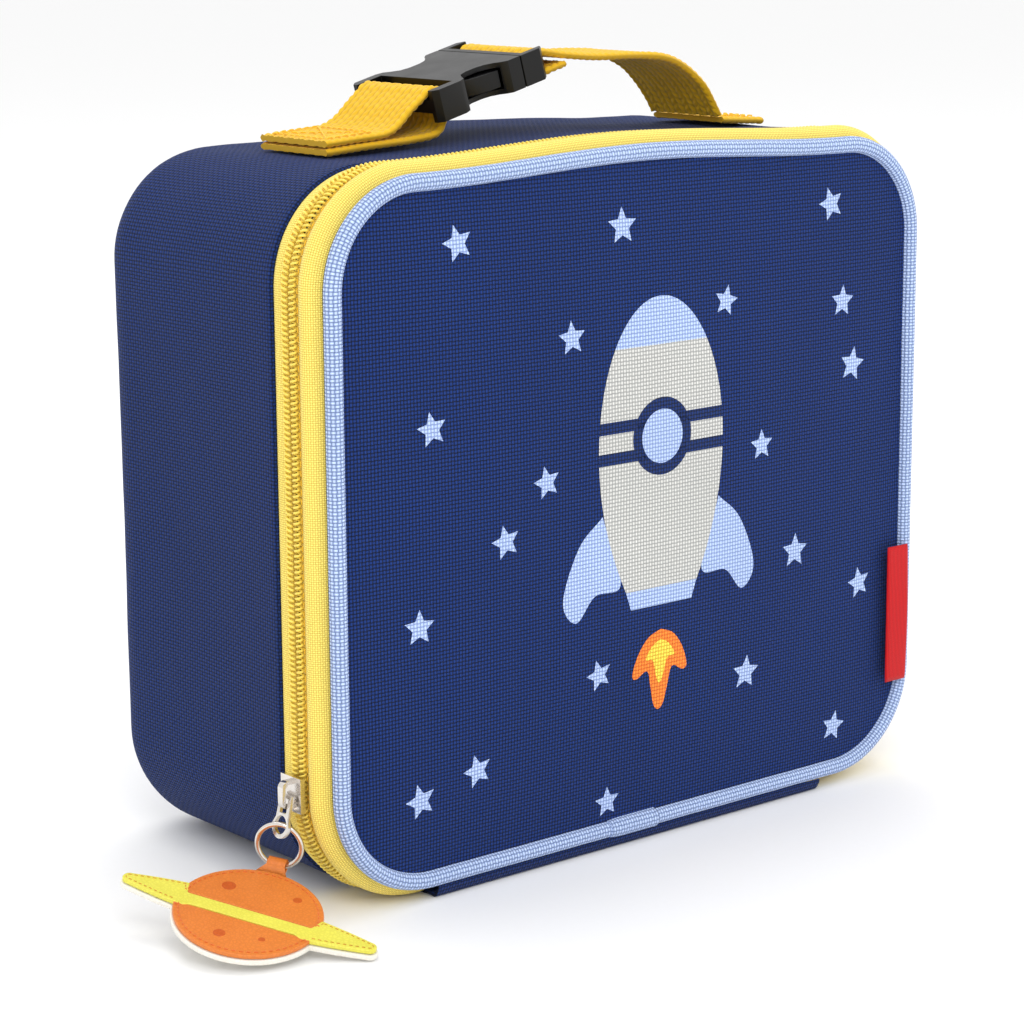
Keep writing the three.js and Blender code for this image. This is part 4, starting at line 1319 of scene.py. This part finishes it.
LEFT_LINE = [on_top(x, 1.2) for x in range(-82, -47, 5)] + [(-43, 210.2), (-39.9, 213.4)]
LEFT_LINE += round_line(-43.5, 218.8, 4.3, -15, 150, 6) + [(-51.5, 217.6), (-56, 213.6)]
LEFT_LINE += [on_top(-61, 3.9), on_top(-70, 3.6), on_top(-76, 3.6), on_top(-82, 3.6)]
RIGHT_LINE = [(6, 228.1), (2, 227.2), (-2, 226)] + round_line(-6.02, 228.84, 3.4, 275, 90, 7)
RIGHT_LINE += [(0, 231.6), (6, 230.7), (19, 229.6), (34, 229.4), (46, 228.4)]
RIGHT_LINE += [(55, 225), (62, 219.6), (66.6, 214), (69.4, 209.6)]
left_strap = webbing("strap_left_webbing", LEFT_LINE, 6)
settle(left_strap, "case", "webbing", "strap_left")
anchor = webbing("anchor_webbing", [on_top(x, 1.2) for x in (70.4, 74, 78, 82, 85, 88)])
settle(anchor, "case", "webbing", "anchor_right")
right_strap = webbing("strap_right_webbing", RIGHT_LINE, 6)
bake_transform(right_strap)
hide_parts("strap_right")


def box_of_stitches(name, x0, x1, height, body):
    """A sewn rectangle with a cross in it, on the top of the strap."""
    half = STRAP_HALF - SEAM_MARGIN
    corners = [(x0, -half), (x1, -half), (x1, half), (x0, half), (x0, -half)]
    corners += [(x1, half), (x0, half), (x1, -half)]
    legs = [corners[k : k + 2] for k in (0, 1, 2, 3, 4)] + [corners[6:8]]
    for k, ((xa, ya), (xb, yb)) in enumerate(legs):
        t = np.linspace(0, 1, 24)
        places = [(*on_top(xa + (xb - xa) * i, height), ya + (yb - ya) * i) for i in t]
        path = np.array([(x, y, z) for x, z, y in places])
        settle(stitches(f"{name}_{k}", path, (0, 0, 1), thread_yellow, 2.7, 2.1, 0.26), body, "webbing")


box_of_stitches("left_stitches", -80, -64, 4.75, "case")
box_of_stitches("right_stitches", 72.5, 86, 2.35, "case")
print("webbing faces:", len(left_strap.data.polygons) + len(right_strap.data.polygons))

# %% [markdown]
# ## Buckle and zip metal
# These are hard pieces and the CAD already has their shape. Moulded and cast edges are never sharp, so
# each gets a small rounded edge and its own finish.

# %% Hard pieces
def smooth_group():
    """A geometry node group that shades smooth, so that a CAD mesh itself stays as it is."""
    group = bpy.data.node_groups.new("shade_smooth", "GeometryNodeTree")
    group.interface.new_socket("Geometry", in_out="INPUT", socket_type="NodeSocketGeometry")
    group.interface.new_socket("Geometry", in_out="OUTPUT", socket_type="NodeSocketGeometry")
    start, end = group.nodes.new("NodeGroupInput"), group.nodes.new("NodeGroupOutput")
    smooth = group.nodes.new("GeometryNodeSetShadeSmooth")
    group.links.new(start.outputs[0], smooth.inputs["Geometry"])
    group.links.new(smooth.outputs[0], end.inputs[0])
    return group


shade_smooth = smooth_group()


def coat(node, material, bevel):
    """Gives a hard CAD node its finish and rounded edges. Only modifiers and materials change."""
    piece = frame["nodes"][node]
    for place in piece.material_slots:
        place.link, place.material = "OBJECT", material
    piece.modifiers.new("weld", "WELD").merge_threshold = 0.004 * MM
    rounding = piece.modifiers.new("rounding", "BEVEL")
    rounding.width, rounding.segments = bevel * MM, 3
    rounding.limit_method, rounding.angle_limit = "ANGLE", math.radians(34)
    piece.modifiers.new("smooth", "NODES").node_group = shade_smooth
    piece.modifiers.new("even_normals", "WEIGHTED_NORMAL").keep_sharp = False
    return piece


for node in ("buckle_socket", "buckle_plug", "prong_front", "prong_back"):
    coat(node, black_plastic, 0.55)
for node in ("slider_body", "pull_link", "zip_stop_left", "zip_stop_right"):
    coat(node, zip_metal, 0.28)

# %% [markdown]
# ## The charm and its ring
# A round wire ring joins the charm to the zip pull. The charm is a planet with a tilted band, cut from
# thin leather on a cream backing. It lies in its own tilted plane: its tab hangs from the swing joint's
# pivot, and three angles turn it.

# %% Charm frame and ring
CHARM_HEADING, CHARM_SLOPE, CHARM_ROLL = (math.radians(a) for a in (36.5, 12, 10))
CHARM_TAB, CHARM_DISC, RING_TURN = 26.0, 20.4, math.radians(-95)
RING_REACH, RING_WIRE, RING_DROP = 6.4, 0.75, math.radians(86)
joints = {j["name"]: j for j in frame["joints"]}
pivot = np.array(joints["charm_swing"]["pos_m"]) / MM
turned = Matrix.Rotation(CHARM_HEADING, 3, "Z") @ Matrix.Rotation(-CHARM_SLOPE, 3, "Y")
turned = turned @ Matrix.Rotation(CHARM_ROLL, 3, "X")
charm_x, charm_y, charm_z = (np.array(turned.col[k]) for k in range(3))
charm_middle = pivot - charm_x * CHARM_TAB


def in_charm(x, y, z):
    """A place from the charm's own frame: x towards the tab, z up from its face."""
    x, y, z = np.broadcast_arrays(x, y, z)
    return charm_middle + x[..., None] * charm_x + y[..., None] * charm_y + z[..., None] * charm_z


t = np.linspace(0, 2 * np.pi, 120, endpoint=False)
away = RING_REACH * (1 + np.cos(t))
ring_x, ring_z = CHARM_TAB + away * math.cos(RING_DROP), away * math.sin(RING_DROP)
ring_path = in_charm(ring_x, RING_REACH * np.sin(t), ring_z)
ring_middle = ring_path.mean(0)
ring = tube("split_ring", ring_path, RING_WIRE, 16, zip_metal, unit(ring_path - ring_middle), closed=True)
settle(ring, "ring", "zip_metal", "pull_ring")

# %% Charm pieces
# The band before it is turned: its tips' reach and half width, its wings, and its edges over the disc.
BAND_REACH, TIP_HALF, WING_HALF = 35.0, 2.0, 4.4
BAND_LOW, BAND_HIGH, BAND_GAP = -4.2, 0.6, 0.25


def bend(a, b, c):
    """A curve from a to c that leans towards b."""
    a, b, c = np.array(a), np.array(b), np.array(c)
    return [tuple((1 - k) ** 2 * a + 2 * k * (1 - k) * b + k * k * c) for k in np.linspace(0, 1, 10)]


def planet_band(grow):
    """The outline of the band and its two wings, before it is turned."""
    half, end = WING_HALF + grow, TIP_HALF + grow
    low, high = BAND_LOW - grow, BAND_HIGH + grow
    outline = round_line(-BAND_REACH, 0, end, 90, 270, 12)
    outline += bend((-BAND_REACH, -end), (-25, -half), (-17, -half - 1))
    outline += [(-15, low), (15, low)]
    outline += bend((17, -half - 1), (25, -half), (BAND_REACH, -end))
    outline += round_line(BAND_REACH, 0, end, -90, 90, 12)
    outline += bend((BAND_REACH, end), (25, half), (19.4, half + 0.6))
    outline += [(18, high), (-18, high)]
    outline += bend((-19.4, half + 0.6), (-25, half), (-BAND_REACH, end))
    return outline


def turn_band(outline):
    c, s = math.cos(RING_TURN), math.sin(RING_TURN)
    return [(x * c - y * s, x * s + y * c) for x, y in outline]


def even_outline(outline, step=0.5):
    line = np.vstack([np.array(outline, float), outline[0]])
    keep = np.r_[True, np.linalg.norm(np.diff(line, axis=0), axis=1) > 1e-4]
    line = line[keep]
    s = travelled(line)
    at = np.arange(0, s[-1] - step / 2, step)
    return np.stack([np.interp(at, s, line[:, k]) for k in (0, 1)], -1)


def shrink(outline, by):
    """An outline moved inwards."""
    ahead = unit(np.roll(outline, -2, 0) - np.roll(outline, 2, 0))
    area = (outline[:, 0] * np.roll(outline[:, 1], -1) - np.roll(outline[:, 0], -1) * outline[:, 1]).sum()
    inward = np.stack([-ahead[:, 1], ahead[:, 0]], -1) * (1 if area > 0 else -1)
    return outline + inward * by


def leather(name, outline, z0, z1, material, slot, *nodes, edge=0.32):
    """A flat cut of leather with rounded edges: rings that step in from the outline, and two filled faces."""
    outline = even_outline(outline)
    n = len(outline)
    turn = np.radians([0, 30, 60, 90])
    rings = [(edge * (1 - math.cos(a)), z0 + edge - edge * math.sin(a)) for a in turn[::-1]]
    rings += [(edge * (1 - math.cos(a)), z1 - edge + edge * math.sin(a)) for a in turn]
    places = np.stack([in_charm(*shrink(outline, inset).T, z) for inset, z in rings])
    faces = grid_faces(len(rings), n, False, True)[0].tolist()
    faces += [list(range(n))[::-1], list(range((len(rings) - 1) * n, len(rings) * n))]
    mesh = mesh_of(name, places, faces)
    piece = turn_out(as_piece(name, mesh, material))
    for face in piece.data.polygons:
        if len(face.vertices) > 4:
            face.use_smooth = False
    return settle(piece, "charm", slot, *nodes)


def disc_side(upper):
    """The part of the disc above or below the band, cut along the band's edges."""
    y = BAND_HIGH + BAND_GAP if upper else BAND_LOW - BAND_GAP
    lean = math.degrees(math.asin(y / CHARM_DISC))
    ends = (lean, 180 - lean) if upper else (180 - lean, 360 + lean)
    return turn_band(round_line(0, 0, CHARM_DISC, *ends, 100))


back_circle = round_line(0, 0, CHARM_DISC + 0.5, 0, 360, 180, last=False)
leather("charm_backing_disc", back_circle, -1.7, -0.2, leather_cream, "charm_cream", "charm_backing")
leather("charm_backing_band", turn_band(planet_band(0.5)), -1.68, -0.22, leather_cream, "charm_cream")
for side, upper in (("upper", True), ("lower", False)):
    half = disc_side(upper)
    leather(f"charm_planet_{side}", half, -0.05, 1.2, leather_orange, "charm_orange", f"charm_disc_{side}")
leather("charm_band", turn_band(planet_band(0.0)), 0.0, 1.32, leather_lime, "charm_lime", "charm_ring")
CRATERS = [(-9.5, 8.8, 2.0), (9.8, 11.0, 1.3), (-3.0, -12.8, 1.7), (8.2, -10.4, 1.0)]
for k, (x, y, radius) in enumerate(CRATERS):
    spot = turn_band(round_line(x, y, radius, 0, 360, 40, last=False))
    leather(f"charm_crater_{k}", spot, 1.1, 1.27, leather_rust, "charm_orange", edge=0.07)


def kept_run(line, keep):
    """The places of a closed line where keep is true, in order along their run."""
    gaps = np.nonzero(~keep & np.roll(keep, 1))[0]
    shift = -gaps[0] if len(gaps) else 0
    return np.roll(line, shift, 0)[np.roll(keep, shift)]


def charm_seam(name, run, height, thread, slot, *sizes):
    """Stitches on the charm's face. sizes are their pitch, length and radius."""
    seam = stitches(name, in_charm(run[:, 0], run[:, 1], height), charm_z, thread, *sizes)
    settle(seam, "charm", slot)


for upper in (True, False):
    inner = shrink(even_outline(disc_side(upper), 0.4), 1.5)
    run = kept_run(inner, np.hypot(*inner.T) > CHARM_DISC - 1.9)
    charm_seam(f"charm_seam_{int(upper)}", run, 1.2, thread_orange, "charm_orange", 2.0, 1.45, 0.17)
inner = shrink(even_outline(turn_band(planet_band(0.0)), 0.4), 1.0)
along_band = inner @ np.array([math.cos(RING_TURN), math.sin(RING_TURN)])
for name, wing in (("low", along_band < -19.5), ("high", along_band > 19.5)):
    run = kept_run(inner, wing)
    charm_seam(f"charm_band_seam_{name}", run, 1.32, thread_ochre, "charm_lime", 1.7, 1.2, 0.13)


def tab_loop():
    """The folded tab: two skins that flare into the disc and a loop round the ring's wire."""
    half, out, inner = 2.6, 2.2, 1.35
    outer = round_line(CHARM_TAB, 0, out, -148, 148, 25)
    hollow = round_line(CHARM_TAB, 0, inner, 148, -148, 25)
    profile = [(CHARM_DISC - 0.6, -0.9)] + outer + [(CHARM_DISC - 0.6, 0.9)]
    profile += [(CHARM_TAB - 1.9, 0.35)] + hollow + [(CHARM_TAB - 1.9, -0.35)]
    profile = np.array(profile)
    y = np.r_[-half, -half + 0.12, np.linspace(-half + 0.4, half - 0.4, 7), half - 0.12, half]
    flare = 1 + 0.75 * np.clip((CHARM_TAB - 1.5 - profile[:, 0]) / 4.5, 0, 1) ** 1.6
    places = in_charm(profile[None, :, 0], y[:, None] * flare[None], profile[None, :, 1])
    return close_ends(strip("charm_tab_loop", places, leather_orange, False, True), len(y), len(profile))


settle(tab_loop(), "charm", "charm_orange", "charm_tab")
print("charm middle at", charm_middle.round(1))

# %% [markdown]


# %% [markdown]
# ## Floor and light
# The bag stands on a plain white floor, lit by three large soft lights and a white sky, as in a light
# tent.

# %% Stage
FLOOR_HALF = 30  # metres


def floor():
    p = Paint("floor_paper")
    fibre = p.cloud(2, 2)
    p.finish(Base_Color=p.shade(colour("#fafafa"), fibre * 0.02 + 0.98), Roughness=0.9)
    mesh = bpy.data.meshes.new("floor")
    corners = [(x * FLOOR_HALF, y * FLOOR_HALF, 0) for x, y in ((-1, -1), (1, -1), (1, 1), (-1, 1))]
    mesh.from_pydata(corners, [], [(0, 1, 2, 3)])
    return as_piece("floor", mesh, p.material)


def soft_light(name, place, power, size):
    data = bpy.data.lights.new(name, "AREA")
    data.energy, data.size = power, size
    light = bpy.data.objects.new(name, data)
    bpy.context.collection.objects.link(light)
    light.location = place
    light.rotation_euler = (Vector((0, 0, 0.1)) - Vector(place)).to_track_quat("-Z", "Y").to_euler()
    return light


floor()
soft_light("key", (-0.9, -1.5, 1.5), 15, 1.1)
soft_light("fill", (1.6, -0.9, 1.0), 4, 1.4)
soft_light("top", (0.1, 0.5, 1.8), 9, 1.3)
world = bpy.data.worlds.new("studio")
world.use_nodes = True
world.node_tree.nodes["Background"].inputs[0].default_value = (1, 1, 1, 1)
world.node_tree.nodes["Background"].inputs[1].default_value = 1.0
bpy.context.scene.world = world
bpy.context.scene.view_settings.view_transform = "Standard"
